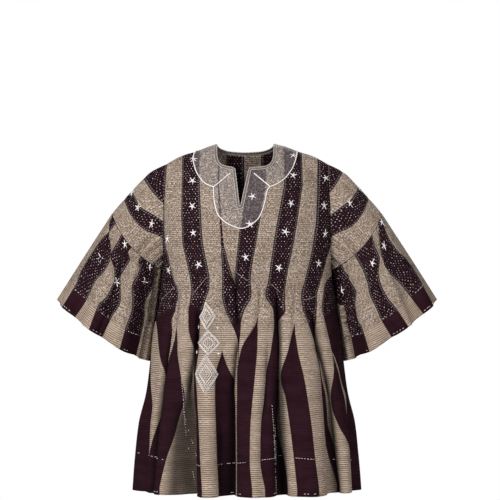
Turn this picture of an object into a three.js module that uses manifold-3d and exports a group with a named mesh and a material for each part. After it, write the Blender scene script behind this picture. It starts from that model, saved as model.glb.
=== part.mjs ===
// Fugu smock: a flared smock of narrow woven strips, held in its worn shape.
// Units are millimetres. +X runs towards the wearer's left, the front faces -Y, +Z is up.
// Z = 0 is the level of the shoulder points beside the neck, where the wearer carries it.

import * as THREE from 'three';
import { mergeVertices } from 'three/addons/utils/BufferGeometryUtils.js';
import Module from 'manifold-3d';

// Cloth and seams
const CLOTH = 2.0;
const SEAM_GAP = 0.3;

// Lengths down the body, measured from the shoulder points
const WAIST_Z = -336;
const HEM_Z = -822;
const UNDERARM_Z = -290;

// Neck opening and front slit
const NECK_CENTRE = -4;
const NECK_HALF = 74;
const NECK_FRONT_DROP = 64;
const NECK_BACK_DROP = 24;
const NECK_FRONT_POWER = 4;
const NECK_BACK_POWER = 2.4;
const SLIT = { topLeft: -34, topRight: 10, footCentre: -16, footHalf: 8, foot: -157 };
const BINDING_WIDTH = 5;
const BINDING_THICK = 1.2;
const BINDING_LIFT = 0.9;

// Roundness of the body sections: 2 is an ellipse, higher is squarer
const YOKE_POWER = 2.6;
const HEM_POWER = 2.2;
const ARMHOLE_EDGE_DEPTH = 0.52;

// Fineness of the walls
const YOKE_COLUMNS = 28;
const SKIRT_COLUMNS = 66;
const SKIRT_ROWS = 8;
const SLEEVE_COLUMNS = 40;
const CAP_ROWS = 3;
const FLARE_ROWS = 6;
const NECK_STEPS = 14;
const BACK_NECK_STEPS = 8;
const FOOT_STEPS = 6;

// Shoulder line seen from the front: how low it lies at each distance out
const SHOULDER = [
  { out: 0, z: 3 }, { out: 70, z: 0 }, { out: 120, z: -16 },
  { out: 154, z: -26 }, { out: 192, z: -46 }, { out: 215, z: -60 },
];

// Side profile of the yoke: depth to the front and back at each drop below the shoulder line
const PROFILE = [
  { drop: 0, front: 0, back: 0 }, { drop: 8, front: 20, back: 22 }, { drop: 30, front: 42, back: 48 },
  { drop: 64, front: 66, back: 76 }, { drop: 110, front: 92, back: 98 }, { drop: 170, front: 114, back: 111 },
  { drop: 240, front: 126, back: 116 }, { drop: 336, front: 130, back: 117 },
];

// Half width of the yoke at its side edge, by share of the way down from shoulder to waist seam
const YOKE_EDGE = [
  { share: 0, half: 192 }, { share: 0.35, half: 197 }, { share: 0.84, half: 200 }, { share: 1, half: 206 },
];

// Share of the way down of each row of the yoke; the underarm row is put in where it belongs
const YOKE_SHARES = [0, 0.02, 0.05, 0.09, 0.14, 0.2, 0.27, 0.36, 0.46, 0.57, 0.68, 0.77, 0.92, 1];

// Skirt sections from the waist seam to the hem
const SKIRT = [
  { z: -336, half: 206, front: 130, back: 117 }, { z: -400, half: 214, front: 138, back: 126 },
  { z: -454, half: 225, front: 144, back: 133 }, { z: -518, half: 231, front: 149, back: 139 },
  { z: -590, half: 240, front: 153, back: 145 }, { z: -665, half: 257, front: 158, back: 151 },
  { z: -744, half: 265, front: 162, back: 156 }, { z: -822, half: 271, front: 166, back: 160 },
];

// Long folds of the skirt: turn in degrees from the centre at waist and hem, width in degrees,
// rise out of the section in millimetres (below zero is a trough), and the height where it starts
const FRONT_FOLDS = [
  { waist: -80, hem: -78, wide: 6, rise: 6, start: -480 }, { waist: -68, hem: -64, wide: 5, rise: -11, start: -450 },
  { waist: -54, hem: -46, wide: 9, rise: 13, start: -380 }, { waist: -31, hem: -28.4, wide: 4.6, rise: -23, start: -500 },
  { waist: -20, hem: -17, wide: 6.5, rise: 15, start: -350 }, { waist: -10, hem: -7.4, wide: 4.2, rise: -17, start: -400 },
  { waist: 0, hem: 1, wide: 5, rise: 10, start: -380 }, { waist: 8, hem: 9.6, wide: 3.6, rise: 9, start: -430 },
  { waist: 17, hem: 15.5, wide: 4.2, rise: -22, start: -470 }, { waist: 30, hem: 31, wide: 10, rise: 16, start: -360 },
  { waist: 43, hem: 46, wide: 4.6, rise: -20, start: -430 }, { waist: 60, hem: 57, wide: 7, rise: 10, start: -420 },
  { waist: 72, hem: 70, wide: 5, rise: -10, start: -470 }, { waist: 82, hem: 80, wide: 5, rise: 5, start: -480 },
];
const BACK_FOLDS = [
  { waist: -79, hem: -77, wide: 6, rise: 6, start: -470 }, { waist: -66, hem: -63, wide: 5, rise: -12, start: -440 },
  { waist: -50, hem: -49, wide: 9, rise: 14, start: -370 }, { waist: -35, hem: -33, wide: 4.6, rise: -21, start: -460 },
  { waist: -23, hem: -20, wide: 7, rise: 14, start: -360 }, { waist: -7, hem: -8, wide: 4.4, rise: -19, start: -420 },
  { waist: 5, hem: 4, wide: 6.5, rise: 15, start: -370 }, { waist: 17, hem: 19, wide: 4.6, rise: -22, start: -450 },
  { waist: 33, hem: 32, wide: 8.5, rise: 14, start: -360 }, { waist: 47, hem: 46, wide: 4.6, rise: -18, start: -430 },
  { waist: 61, hem: 60, wide: 7, rise: 11, start: -410 }, { waist: 74, hem: 73, wide: 5, rise: -9, start: -470 },
];

// Short gathers pinched into the waist seam
const GATHER_LENGTH = 95;
const FRONT_GATHERS = [
  { turn: -52, wide: 4, pinch: 7 }, { turn: -37, wide: 3.6, pinch: 5 }, { turn: -22, wide: 3.4, pinch: 8 },
  { turn: -11, wide: 3.2, pinch: 6 }, { turn: 1, wide: 3.2, pinch: 6 }, { turn: 9, wide: 3, pinch: 7 },
  { turn: 21, wide: 3.4, pinch: 7 }, { turn: 32, wide: 3.6, pinch: 7 }, { turn: 50, wide: 4, pinch: 6 },
];
const BACK_GATHERS = [
  { turn: -54, wide: 4, pinch: 6 }, { turn: -40, wide: 3.6, pinch: 7 }, { turn: -27, wide: 3.4, pinch: 6 },
  { turn: -13, wide: 3.2, pinch: 7 }, { turn: -1, wide: 3.2, pinch: 6 }, { turn: 12, wide: 3.2, pinch: 8 },
  { turn: 25, wide: 3.4, pinch: 6 }, { turn: 39, wide: 3.6, pinch: 7 }, { turn: 55, wide: 4, pinch: 6 },
];

// Sleeve on the wearer's right (x below zero); the other is its mirror image.
// Top line of the cap, from the armhole to the seam that the gathered flare is sewn to
const CAP_TOP = [
  { share: 0, x: -192, z: -46 }, { share: 0.22, x: -232, z: -67 }, { share: 0.42, x: -264, z: -99 },
  { share: 0.7, x: -291, z: -128 }, { share: 1, x: -323, z: -165 },
];
const CAP_UNDER = { x: -207.5, z: -298 };
const CAP_HALF_DEPTH = 66;
const CAP_BOW = 15;
const CUFF_TOP = { x: -455, z: -370 };
const CUFF_UNDER = { x: -238, z: -517 };
const CUFF_HALF_DEPTH = 104;
const CUFF_BOW = 8;
const FLARE_SWELL = 7;
// Folds of the flare: turn in degrees from the top line, below zero on the back
const FLARE_FOLDS = [
  { turn: 20, wide: 8, rise: -5 }, { turn: 42, wide: 9, rise: 10 }, { turn: 62, wide: 8, rise: -10 },
  { turn: 81, wide: 9, rise: 11 }, { turn: 98, wide: 7, rise: -9 }, { turn: 118, wide: 10, rise: 12 },
  { turn: 143, wide: 8, rise: -9 }, { turn: -24, wide: 9, rise: 9 }, { turn: -48, wide: 8, rise: -9 },
  { turn: -72, wide: 10, rise: 12 }, { turn: -96, wide: 8, rise: -9 }, { turn: -118, wide: 9, rise: 10 },
  { turn: -142, wide: 8, rise: -8 },
];

const TAN = { color: 0x988670, roughness: 0.92, metalness: 0 };
const DARK = { color: 0x301c22, roughness: 0.9, metalness: 0 };

const lerp = THREE.MathUtils.lerp;
const radians = THREE.MathUtils.degToRad;
const ease = THREE.MathUtils.smoothstep;

/** Monotone smooth curve through one column of a table, read by another column. */
function tableCurve(rows, key, column) {
  const last = rows.length - 1;
  const step = rows.slice(1).map((row, i) => (row[column] - rows[i][column]) / (row[key] - rows[i][key]));
  const slope = rows.map((row, i) => {
    if (i === 0) return step[0];
    if (i === last) return step[last - 1];
    return step[i - 1] * step[i] <= 0 ? 0 : 2 * step[i - 1] * step[i] / (step[i - 1] + step[i]);
  });
  const rising = rows[last][key] > rows[0][key];
  return (at) => {
    let i = 0;
    while (i < last - 1 && (rising ? at > rows[i + 1][key] : at < rows[i + 1][key])) i += 1;
    const span = rows[i + 1][key] - rows[i][key];
    const t = THREE.MathUtils.clamp((at - rows[i][key]) / span, 0, 1);
    const t2 = t * t;
    const t3 = t2 * t;
    return (2 * t3 - 3 * t2 + 1) * rows[i][column] + (t3 - 2 * t2 + t) * span * slope[i]
      + (3 * t2 - 2 * t3) * rows[i + 1][column] + (t3 - t2) * span * slope[i + 1];
  };
}

const shoulderZ = tableCurve(SHOULDER, 'out', 'z');
const yokeEdge = tableCurve(YOKE_EDGE, 'share', 'half');
const profile = { front: tableCurve(PROFILE, 'drop', 'front'), back: tableCurve(PROFILE, 'drop', 'back') };
const skirtHalf = tableCurve(SKIRT, 'z', 'half');
const skirtDepth = { front: tableCurve(SKIRT, 'z', 'front'), back: tableCurve(SKIRT, 'z', 'back') };
const facing = { front: -1, back: 1 };

const ARMHOLE_TOP_Z = shoulderZ(YOKE_EDGE[0].half);
const UNDERARM_SHARE = (ARMHOLE_TOP_Z - UNDERARM_Z) / (ARMHOLE_TOP_Z - WAIST_Z);

/** How deep the armhole edge of the yoke lies, as a share of the full depth at that level. */
function armholeShare(share) {
  const left = Math.max(0, 1 - (share / UNDERARM_SHARE) ** 4);
  return ARMHOLE_EDGE_DEPTH * Math.sqrt(left);
}

/** Point of the yoke's outer face at a distance across and a share of the way down. */
function yokePoint(side, x, share) {
  const top = shoulderZ(Math.abs(x));
  const z = lerp(top, WAIST_Z + SEAM_GAP / 2, share);
  const edge = yokeEdge(share);
  const full = edge / (1 - armholeShare(share) ** YOKE_POWER) ** (1 / YOKE_POWER);
  const across = Math.min(1, Math.abs(x) / full);
  const depth = profile[side](top - z) * (1 - across ** YOKE_POWER) ** (1 / YOKE_POWER);
  return new THREE.Vector3(x, facing[side] * (depth + SEAM_GAP / 2), z);
}

/** Point of the yoke's outer face that the front view shows at x and z. */
function yokeAt(side, x, z) {
  const top = shoulderZ(Math.abs(x));
  return yokePoint(side, x, THREE.MathUtils.clamp((top - z) / (top - WAIST_Z), 0, 1));
}

/** Sum of the folds at a turn round the section, as millimetres out of it. */
function foldRise(folds, turn, z) {
  return folds.reduce((sum, fold) => {
    const down = THREE.MathUtils.clamp((WAIST_Z - z) / (WAIST_Z - HEM_Z), 0, 1);
    const off = (turn - lerp(fold.waist, fold.hem, down)) / fold.wide;
    return sum + fold.rise * ease(-z, -fold.start, -HEM_Z) ** 0.7 * Math.exp(-off * off);
  }, 0);
}

/** Depth of the short gathers under the waist seam, as millimetres out of the section. */
function gatherRise(gathers, turn, z) {
  const under = (WAIST_Z - z) / GATHER_LENGTH;
  const fade = under < 1 ? Math.sin(Math.PI * Math.min(1, under * 1.3 + 0.12)) : 0;
  return gathers.reduce((sum, gather) => {
    const off = (turn - gather.turn) / gather.wide;
    return sum - gather.pinch * Math.max(0, fade) * Math.exp(-off * off);
  }, 0);
}

/** Point of the skirt's outer face at a turn in degrees from the centre and a height. */
function skirtPoint(side, turn, z, folds, gathers) {
  const power = lerp(YOKE_POWER, HEM_POWER, (WAIST_Z - z) / (WAIST_Z - HEM_Z));
  const half = skirtHalf(z);
  const depth = skirtDepth[side](z);
  const sine = Math.sin(radians(turn));
  const cosine = Math.max(0, Math.cos(radians(turn)));
  const x = half * Math.sign(sine) * Math.abs(sine) ** (2 / power);
  const y = depth * cosine ** (2 / power);
  const out = new THREE.Vector2(
    Math.sign(x) * Math.abs(x / half) ** (power - 1) / half, (y / depth) ** (power - 1) / depth,
  ).normalize();
  const rise = (foldRise(folds, turn, z) + gatherRise(gathers, turn, z)) * ease(90 - Math.abs(turn), 0, 12);
  return new THREE.Vector3(x + out.x * rise, facing[side] * (y + out.y * rise + SEAM_GAP / 2), z);
}

/**
 * Closed cloth wall over a grid of outer points. At a seam the wall's edge is turned
 * into the plane of the seam, so that the neighbour's edge lies parallel to it.
 */
function clothWall({ columns, rows, pointAt, insideAt, seamAxes = () => [], ring = false }) {
  const across = ring ? columns : columns + 1;
  const outer = [];
  for (let j = 0; j <= rows; j += 1) {
    for (let i = 0; i < across; i += 1) outer.push(pointAt(i, j));
  }
  const at = (i, j) => j * across + (ring ? (i + columns) % columns : i);
  const inner = outer.map((point, k) => {
    const i = k % across;
    const j = Math.floor(k / across);
    const alongRow = outer[at(ring ? i + 1 : Math.min(columns, i + 1), j)].clone()
      .sub(outer[at(ring ? i - 1 : Math.max(0, i - 1), j)]);
    const downColumn = outer[at(i, Math.min(rows, j + 1))].clone().sub(outer[at(i, Math.max(0, j - 1))]);
    const normal = alongRow.cross(downColumn);
    for (const axis of seamAxes(i, j)) normal.projectOnPlane(axis);
    normal.normalize();
    if (normal.dot(point.clone().sub(insideAt(i, j))) < 0) normal.negate();
    return point.clone().addScaledVector(normal, -CLOTH);
  });
  const points = [...outer, ...inner];
  const back = outer.length;
  const faces = [];
  const quad = (a, b, c, d) => faces.push(a, b, c, a, c, d);
  for (let j = 0; j < rows; j += 1) {
    for (let i = 0; i < columns; i += 1) {
      const corners = [at(i, j), at(i + 1, j), at(i + 1, j + 1), at(i, j + 1)];
      quad(...corners);
      quad(...corners.map((k) => k + back).reverse());
    }
  }
  for (let i = 0; i < columns; i += 1) {
    quad(at(i + 1, 0), at(i, 0), at(i, 0) + back, at(i + 1, 0) + back);
    quad(at(i, rows), at(i + 1, rows), at(i + 1, rows) + back, at(i, rows) + back);
  }
  for (let j = 0; j < rows && !ring; j += 1) {
    quad(at(0, j), at(0, j + 1), at(0, j + 1) + back, at(0, j) + back);
    quad(at(columns, j + 1), at(columns, j), at(columns, j) + back, at(columns, j + 1) + back);
  }
  return closedGeometry(points, faces);
}

/** Geometry from points and triangle corners, turned so that its faces point out. */
function closedGeometry(points, faces) {
  let volume = 0;
  for (let k = 0; k < faces.length; k += 3) {
    volume += points[faces[k]].dot(points[faces[k + 1]].clone().cross(points[faces[k + 2]]));
  }
  const geometry = new THREE.BufferGeometry();
  geometry.setAttribute('position', new THREE.Float32BufferAttribute(points.flatMap((p) => p.toArray()), 3));
  geometry.setIndex(volume > 0 ? faces : faces.toReversed());
  return geometry;
}

const AXIS_X = new THREE.Vector3(1, 0, 0);
const AXIS_Y = new THREE.Vector3(0, 1, 0);
const AXIS_Z = new THREE.Vector3(0, 0, 1);

/** Front or back yoke: armhole edges above the underarm, side seams below it. */
function yokeWall(side) {
  const shares = [...YOKE_SHARES, UNDERARM_SHARE].sort((a, b) => a - b);
  const underarmRow = shares.indexOf(UNDERARM_SHARE);
  const rows = shares.length - 1;
  return clothWall({
    columns: YOKE_COLUMNS,
    rows,
    pointAt: (i, j) => {
      const turn = radians(lerp(-90, 90, i / YOKE_COLUMNS));
      const spread = Math.sign(Math.sin(turn)) * Math.abs(Math.sin(turn)) ** (2 / YOKE_POWER);
      return yokePoint(side, spread * yokeEdge(shares[j]), shares[j]);
    },
    insideAt: (i, j) => new THREE.Vector3(0, 0, lerp(ARMHOLE_TOP_Z - 60, WAIST_Z, shares[j])),
    seamAxes: (i, j) => {
      const axes = [];
      const atEdge = i === 0 || i === YOKE_COLUMNS;
      if (atEdge && j < underarmRow) axes.push(AXIS_X);
      if (j === 0 || (atEdge && j >= underarmRow)) axes.push(AXIS_Y);
      if (j === rows) axes.push(AXIS_Z);
      return axes;
    },
  });
}

/** Front or back skirt: gathered into the waist seam and falling in long folds. */
function skirtWall(side, folds, gathers) {
  return clothWall({
    columns: SKIRT_COLUMNS,
    rows: SKIRT_ROWS,
    pointAt: (i, j) => {
      const down = (j / SKIRT_ROWS) ** 1.15;
      const z = lerp(WAIST_Z - SEAM_GAP / 2, HEM_Z, down);
      return skirtPoint(side, lerp(-90, 90, i / SKIRT_COLUMNS), z, folds, gathers);
    },
    insideAt: (i, j) => new THREE.Vector3(0, 0, lerp(WAIST_Z, HEM_Z, j / SKIRT_ROWS)),
    seamAxes: (i, j) => {
      const axes = [];
      if (i === 0 || i === SKIRT_COLUMNS) axes.push(AXIS_Y);
      if (j === 0) axes.push(AXIS_Z);
      return axes;
    },
  });
}

/** Ring of a sleeve between a top and an under point, bowed forward along the sleeve. */
function sleeveRing(top, under, halfDepth, bow, turn) {
  const angle = radians(turn);
  const slope = new THREE.Vector2(top.x - under.x, top.z - under.z);
  const along = new THREE.Vector2(slope.y, -slope.x).normalize();
  if (along.y > 0) along.negate();
  const lean = bow * Math.sin(angle) ** 2;
  const share = (1 + Math.cos(angle)) / 2;
  return new THREE.Vector3(
    lerp(under.x, top.x, share) + along.x * lean,
    -halfDepth * Math.sin(angle),
    lerp(under.z, top.z, share) + along.y * lean,
  );
}

const capTopX = tableCurve(CAP_TOP, 'share', 'x');
const capTopZ = tableCurve(CAP_TOP, 'share', 'z');

/** Point of the sleeve cap: the armhole's own edge at share 0, the flare seam at share 1. */
function capPoint(turn, share) {
  const angle = radians(turn);
  const down = UNDERARM_SHARE * (1 - Math.cos(angle)) / 2;
  const side = turn <= 180 ? 'front' : 'back';
  const edge = yokePoint(side, -yokeEdge(down), down);
  const top = { x: capTopX(share), z: capTopZ(share) };
  const under = { x: lerp(-yokeEdge(UNDERARM_SHARE), CAP_UNDER.x, share), z: lerp(UNDERARM_Z, CAP_UNDER.z, share) };
  const ring = sleeveRing(top, under, CAP_HALF_DEPTH, CAP_BOW * share, turn);
  const chord = sleeveRing({ x: capTopX(0), z: capTopZ(0) }, { x: -yokeEdge(UNDERARM_SHARE), z: UNDERARM_Z }, 0, 0, turn);
  const keep = 1 - share;
  const edgeY = turn === 0 || turn === 180 ? 0 : edge.y;
  return new THREE.Vector3(
    ring.x + keep * (edge.x - chord.x) - SEAM_GAP * keep,
    lerp(edgeY, ring.y, share),
    ring.z + keep * (edge.z - chord.z),
  );
}

/** Point of the sleeve flare, from the cap seam at share 0 to the cuff at share 1. */
function flarePoint(turn, share) {
  const top = { x: lerp(CAP_TOP.at(-1).x, CUFF_TOP.x, share), z: lerp(CAP_TOP.at(-1).z, CUFF_TOP.z, share) };
  const under = { x: lerp(CAP_UNDER.x, CUFF_UNDER.x, share), z: lerp(CAP_UNDER.z, CUFF_UNDER.z, share) };
  const halfDepth = lerp(CAP_HALF_DEPTH, CUFF_HALF_DEPTH, share ** 0.8);
  const point = sleeveRing(top, under, halfDepth, lerp(CAP_BOW, CUFF_BOW, share), turn);
  const centre = new THREE.Vector3((top.x + under.x) / 2, 0, (top.z + under.z) / 2);
  const out = point.clone().sub(centre).normalize();
  const signed = turn > 180 ? turn - 360 : turn;
  const ripple = FLARE_FOLDS.reduce((sum, fold) => {
    const off = (signed - fold.turn) / fold.wide;
    return sum + fold.rise * Math.exp(-off * off);
  }, 0);
  const swell = FLARE_SWELL * Math.sin(Math.PI * share) * Math.abs(Math.sin(radians(turn)));
  point.addScaledVector(out, ripple * share ** 0.8 + swell);
  return point;
}

/** Tubular wall of one sleeve piece; side is -1 for the wearer's right, 1 for the left. */
function sleeveWall(side, rows, pointAt, endAxes) {
  const place = (point) => point.multiply(new THREE.Vector3(-side, 1, 1));
  const ringPoints = (share) => Array.from({ length: SLEEVE_COLUMNS }, (_, i) => place(pointAt(i * 360 / SLEEVE_COLUMNS, share)));
  const centres = Array.from({ length: rows + 1 }, (_, j) => ringPoints(j / rows)
    .reduce((sum, point) => sum.add(point), new THREE.Vector3()).divideScalar(SLEEVE_COLUMNS));
  return clothWall({
    columns: SLEEVE_COLUMNS,
    rows,
    ring: true,
    pointAt: (i, j) => place(pointAt(i * 360 / SLEEVE_COLUMNS, j / rows)),
    insideAt: (i, j) => centres[j],
    seamAxes: (i, j) => {
      if (j === 0) return [place(endAxes[0].clone())];
      if (j === rows && endAxes[1]) return [place(endAxes[1].clone())];
      return [];
    },
  });
}

/** Points of a rounded neck line from the shoulder down to its middle, closest at the shoulder. */
function neckQuarter(sign, drop, power, steps) {
  return Array.from({ length: steps + 1 }, (_, k) => {
    const angle = radians(90 * (k / steps) ** 2);
    return {
      x: NECK_CENTRE + sign * NECK_HALF * Math.max(0, Math.cos(angle)) ** (2 / power),
      z: -drop * Math.sin(angle) ** (2 / power),
    };
  });
}

/** Outline of the neck opening in the front view, from the right shoulder round to the left. */
function frontNeckPath() {
  const clear = 3;
  const right = neckQuarter(-1, NECK_FRONT_DROP, NECK_FRONT_POWER, NECK_STEPS)
    .filter((point) => point.x < SLIT.topLeft - clear);
  const left = neckQuarter(1, NECK_FRONT_DROP, NECK_FRONT_POWER, NECK_STEPS)
    .filter((point) => point.x > SLIT.topRight + clear).reverse();
  const slitTop = -NECK_FRONT_DROP - 2;
  const foot = Array.from({ length: FOOT_STEPS + 1 }, (_, k) => {
    const angle = radians(lerp(180, 360, k / FOOT_STEPS));
    return {
      x: SLIT.footCentre + SLIT.footHalf * Math.cos(angle),
      z: SLIT.foot + SLIT.footHalf + SLIT.footHalf * Math.sin(angle),
    };
  });
  return [...right, { x: SLIT.topLeft, z: slitTop }, ...foot, { x: SLIT.topRight, z: slitTop }, ...left];
}

/** Outline of the back of the neck opening, from the left shoulder round to the right. */
function backNeckPath() {
  const half = (sign) => neckQuarter(sign, NECK_BACK_DROP, NECK_BACK_POWER, BACK_NECK_STEPS);
  return [...half(1), ...half(-1).slice(0, -1).reverse()];
}

const wasm = await Module();
wasm.setup();

/** Solid of a closed geometry. */
function toSolid(geometry) {
  const bare = geometry.clone();
  bare.deleteAttribute('normal');
  bare.deleteAttribute('uv');
  const merged = mergeVertices(bare, 1e-4);
  return new wasm.Manifold(new wasm.Mesh({
    numProp: 3,
    vertProperties: new Float32Array(merged.attributes.position.array),
    triVerts: new Uint32Array(merged.index.array),
  }));
}

/** Geometry of a solid. */
function fromSolid(solid) {
  const mesh = solid.getMesh();
  const geometry = new THREE.BufferGeometry();
  geometry.setAttribute('position', new THREE.BufferAttribute(mesh.vertProperties, 3));
  geometry.setIndex(new THREE.BufferAttribute(mesh.triVerts, 1));
  return geometry;
}

/** Prism that cuts the neck opening through one yoke panel. */
function neckCutter(side, path) {
  const reach = 260;
  const above = 40;
  const outline = [{ x: path[0].x, z: above }, ...path, { x: path.at(-1).x, z: above }];
  const shape = new THREE.Shape(outline.map((point) => new THREE.Vector2(point.x, point.z)));
  const prism = new THREE.ExtrudeGeometry(shape, { depth: reach, bevelEnabled: false, steps: 1 });
  prism.rotateX(Math.PI / 2);
  if (side === 'back') prism.translate(0, reach, 0);
  return prism;
}

/** Yoke panel with its part of the neck opening cut out. */
function cutYoke(side, path) {
  return fromSolid(toSolid(yokeWall(side)).subtract(toSolid(neckCutter(side, path))));
}

/** Narrow binding sewn round the neck edge and slit, made from the yoke's own points. */
function neckBinding() {
  const loop = [
    ...frontNeckPath().map((point) => ({ ...point, side: 'front' })),
    ...backNeckPath().slice(1, -1).map((point) => ({ ...point, side: 'back' })),
  ];
  const count = loop.length;
  const onYoke = (side, x, z) => yokeAt(side, x, Math.min(z, shoulderZ(Math.abs(x)) - 0.5));
  const edge = loop.map((point) => onYoke(point.side, point.x, point.z));
  const frames = loop.map((point, k) => {
    const tangent = edge[(k + 1) % count].clone().sub(edge[(k + count - 1) % count]).normalize();
    const dx = onYoke(point.side, point.x + 1, point.z).sub(onYoke(point.side, point.x - 1, point.z));
    const z = Math.min(point.z, shoulderZ(Math.abs(point.x)) - 6);
    const dz = onYoke(point.side, point.x, z + 2).sub(onYoke(point.side, point.x, z - 2));
    const normal = dx.cross(dz).normalize();
    if (normal.y * facing[point.side] < 0) normal.negate();
    const outward = tangent.clone().cross(normal).normalize();
    return { normal, outward };
  });
  const lifted = (k, outBy, liftBy) => {
    const spot = edge[k].clone().addScaledVector(frames[k].outward, -outBy);
    const seat = onYoke(loop[k].side, spot.x, spot.z);
    return seat.addScaledVector(frames[k].normal, liftBy);
  };
  const section = [
    [0, BINDING_LIFT + BINDING_THICK], [BINDING_WIDTH, BINDING_LIFT + BINDING_THICK],
    [BINDING_WIDTH, BINDING_LIFT], [0, BINDING_LIFT],
  ];
  const points = section.flatMap(([outBy, liftBy]) => loop.map((_, k) => lifted(k, outBy, liftBy)));
  const faces = [];
  for (let s = 0; s < section.length; s += 1) {
    for (let k = 0; k < count; k += 1) {
      const a = s * count + k;
      const b = s * count + (k + 1) % count;
      const c = ((s + 1) % section.length) * count + (k + 1) % count;
      const d = ((s + 1) % section.length) * count + k;
      faces.push(a, b, c, a, c, d);
    }
  }
  return closedGeometry(points, faces);
}

/** Unit vector square to a sleeve seam, running down the sleeve on the wearer's right. */
function seamAxis(top, under) {
  return new THREE.Vector3(top.z - under.z, 0, under.x - top.x).normalize();
}

const smock = new THREE.Group();

/** Adds one named piece of the smock. */
function addPiece(name, geometry, finish) {
  const mesh = new THREE.Mesh(geometry, new THREE.MeshStandardMaterial(finish));
  mesh.name = name;
  smock.add(mesh);
}

const capSeamTop = CAP_TOP.at(-1);
const capSeamAxis = seamAxis(capSeamTop, CAP_UNDER);
const flareShift = capSeamAxis.clone().multiplyScalar(SEAM_GAP * Math.sign(-capSeamAxis.z));

addPiece('front_yoke', cutYoke('front', frontNeckPath()), TAN);
addPiece('back_yoke', cutYoke('back', backNeckPath()), TAN);
addPiece('front_skirt', skirtWall('front', FRONT_FOLDS, FRONT_GATHERS), TAN);
addPiece('back_skirt', skirtWall('back', BACK_FOLDS, BACK_GATHERS), TAN);
addPiece('neck_binding', neckBinding(), DARK);
for (const [name, side] of [['right', -1], ['left', 1]]) {
  addPiece(`${name}_sleeve_cap`, sleeveWall(side, CAP_ROWS, capPoint, [AXIS_X, capSeamAxis]), DARK);
  addPiece(
    `${name}_sleeve_flare`,
    sleeveWall(side, FLARE_ROWS, (turn, share) => flarePoint(turn, share).add(flareShift), [capSeamAxis, null]),
    TAN,
  );
}

export default smock;
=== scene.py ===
"""Fugu smock, dressed for the camera.

A hand-woven gown of narrow tan and dark strips, gathered under the yoke, with bell sleeves,
an embroidered neck and white thread work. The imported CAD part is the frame: each cloth piece
here replaces its solid and follows the same sizes.

Tables of sizes are in millimetres, as a maker writes them; every mesh is in metres.
The frame is the part's own: +X towards the wearer's left, front towards -Y, +Z up,
with the shoulder points at height zero.
"""

from __future__ import annotations

import logging
import math
import random
from bisect import bisect_right
from dataclasses import dataclass, field
from enum import Enum
from typing import Callable, Iterable, Sequence

import bmesh
import bpy
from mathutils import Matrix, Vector


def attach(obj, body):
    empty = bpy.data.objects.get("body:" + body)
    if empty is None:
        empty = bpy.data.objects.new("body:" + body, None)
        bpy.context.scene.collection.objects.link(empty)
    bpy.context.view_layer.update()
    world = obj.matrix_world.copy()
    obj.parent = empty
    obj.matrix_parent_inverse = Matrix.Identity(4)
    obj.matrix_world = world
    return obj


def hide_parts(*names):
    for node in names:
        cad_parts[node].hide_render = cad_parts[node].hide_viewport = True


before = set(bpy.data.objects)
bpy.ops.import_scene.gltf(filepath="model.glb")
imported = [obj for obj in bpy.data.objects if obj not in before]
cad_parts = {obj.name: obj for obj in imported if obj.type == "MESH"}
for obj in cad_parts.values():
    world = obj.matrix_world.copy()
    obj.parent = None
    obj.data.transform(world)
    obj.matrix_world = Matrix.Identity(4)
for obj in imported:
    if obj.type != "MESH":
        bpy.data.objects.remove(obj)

LOG = logging.getLogger("fugu_smock")
MM = 0.001
BODY = "root"

Colour = tuple[float, float, float, float]
Point = tuple[float, float]


class Face(Enum):
    """Front or back of the body; the value is the sign of Y on that side."""

    FRONT = -1
    BACK = 1


class Side(Enum):
    """Sleeve on the wearer's right or left; the value is the sign of X on that side."""

    RIGHT = -1
    LEFT = 1


class Stripe(Enum):
    """Kind of woven strip; the value is its material slot on a cloth piece."""

    TAN = 0
    DARK = 1


def rows_of(kind: Callable[..., object], *rows: tuple) -> tuple:
    """Returns one object of a kind for each row of its fields."""
    return tuple(kind(*row) for row in rows)


def clamp(value: float, low: float = 0.0, high: float = 1.0) -> float:
    """Returns value held between low and high."""
    return max(low, min(high, value))


def lerp(start: float, end: float, share: float) -> float:
    """Returns the value a share of the way from start to end."""
    return start + (end - start) * share


def ease(value: float, low: float, high: float) -> float:
    """Returns the smooth step of value between low and high, from 0 to 1."""
    t = clamp((value - low) / (high - low))
    return t * t * (3 - 2 * t)


def bell(offset: float) -> float:
    """Returns a smooth hump that is 1 at offset 0 and fades on both sides."""
    return math.exp(-offset * offset) if abs(offset) < 4 else 0.0


class TableCurve:
    """Smooth curve through a table of sizes, which never overshoots them."""

    def __init__(self, places: Sequence[float], values: Sequence[float]) -> None:
        """Keeps the table in rising order and works out its slopes.

        Args:
            places: Where each size was taken, rising or falling.
            values: The size at each place.
        """
        pairs = sorted(zip(places, values))
        self.places = [place for place, _ in pairs]
        self.values = [value for _, value in pairs]
        step = [
            (self.values[i + 1] - self.values[i]) / (self.places[i + 1] - self.places[i])
            for i in range(len(pairs) - 1)
        ]
        self.slopes = [step[0]]
        for before, after in zip(step, step[1:]):
            self.slopes.append(0.0 if before * after <= 0 else 2 * before * after / (before + after))
        self.slopes.append(step[-1])

    def at(self, place: float) -> float:
        """Returns the size at a place, held at the ends of the table."""
        i = min(max(bisect_right(self.places, place) - 1, 0), len(self.places) - 2)
        span = self.places[i + 1] - self.places[i]
        t = clamp((place - self.places[i]) / span)
        t2 = t * t
        t3 = t2 * t
        return (
            (2 * t3 - 3 * t2 + 1) * self.values[i]
            + (t3 - 2 * t2 + t) * span * self.slopes[i]
            + (3 * t2 - 2 * t3) * self.values[i + 1]
            + (t3 - t2) * span * self.slopes[i + 1]
        )


@dataclass(frozen=True)
class Fold:
    """Long fold of the skirt; turns and width are in degrees round the body."""

    waist: float
    hem: float
    wide: float
    rise: float
    start: float


@dataclass(frozen=True)
class Gather:
    """Short pinch under the waist, at a turn round the body."""

    turn: float
    wide: float
    pinch: float


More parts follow.
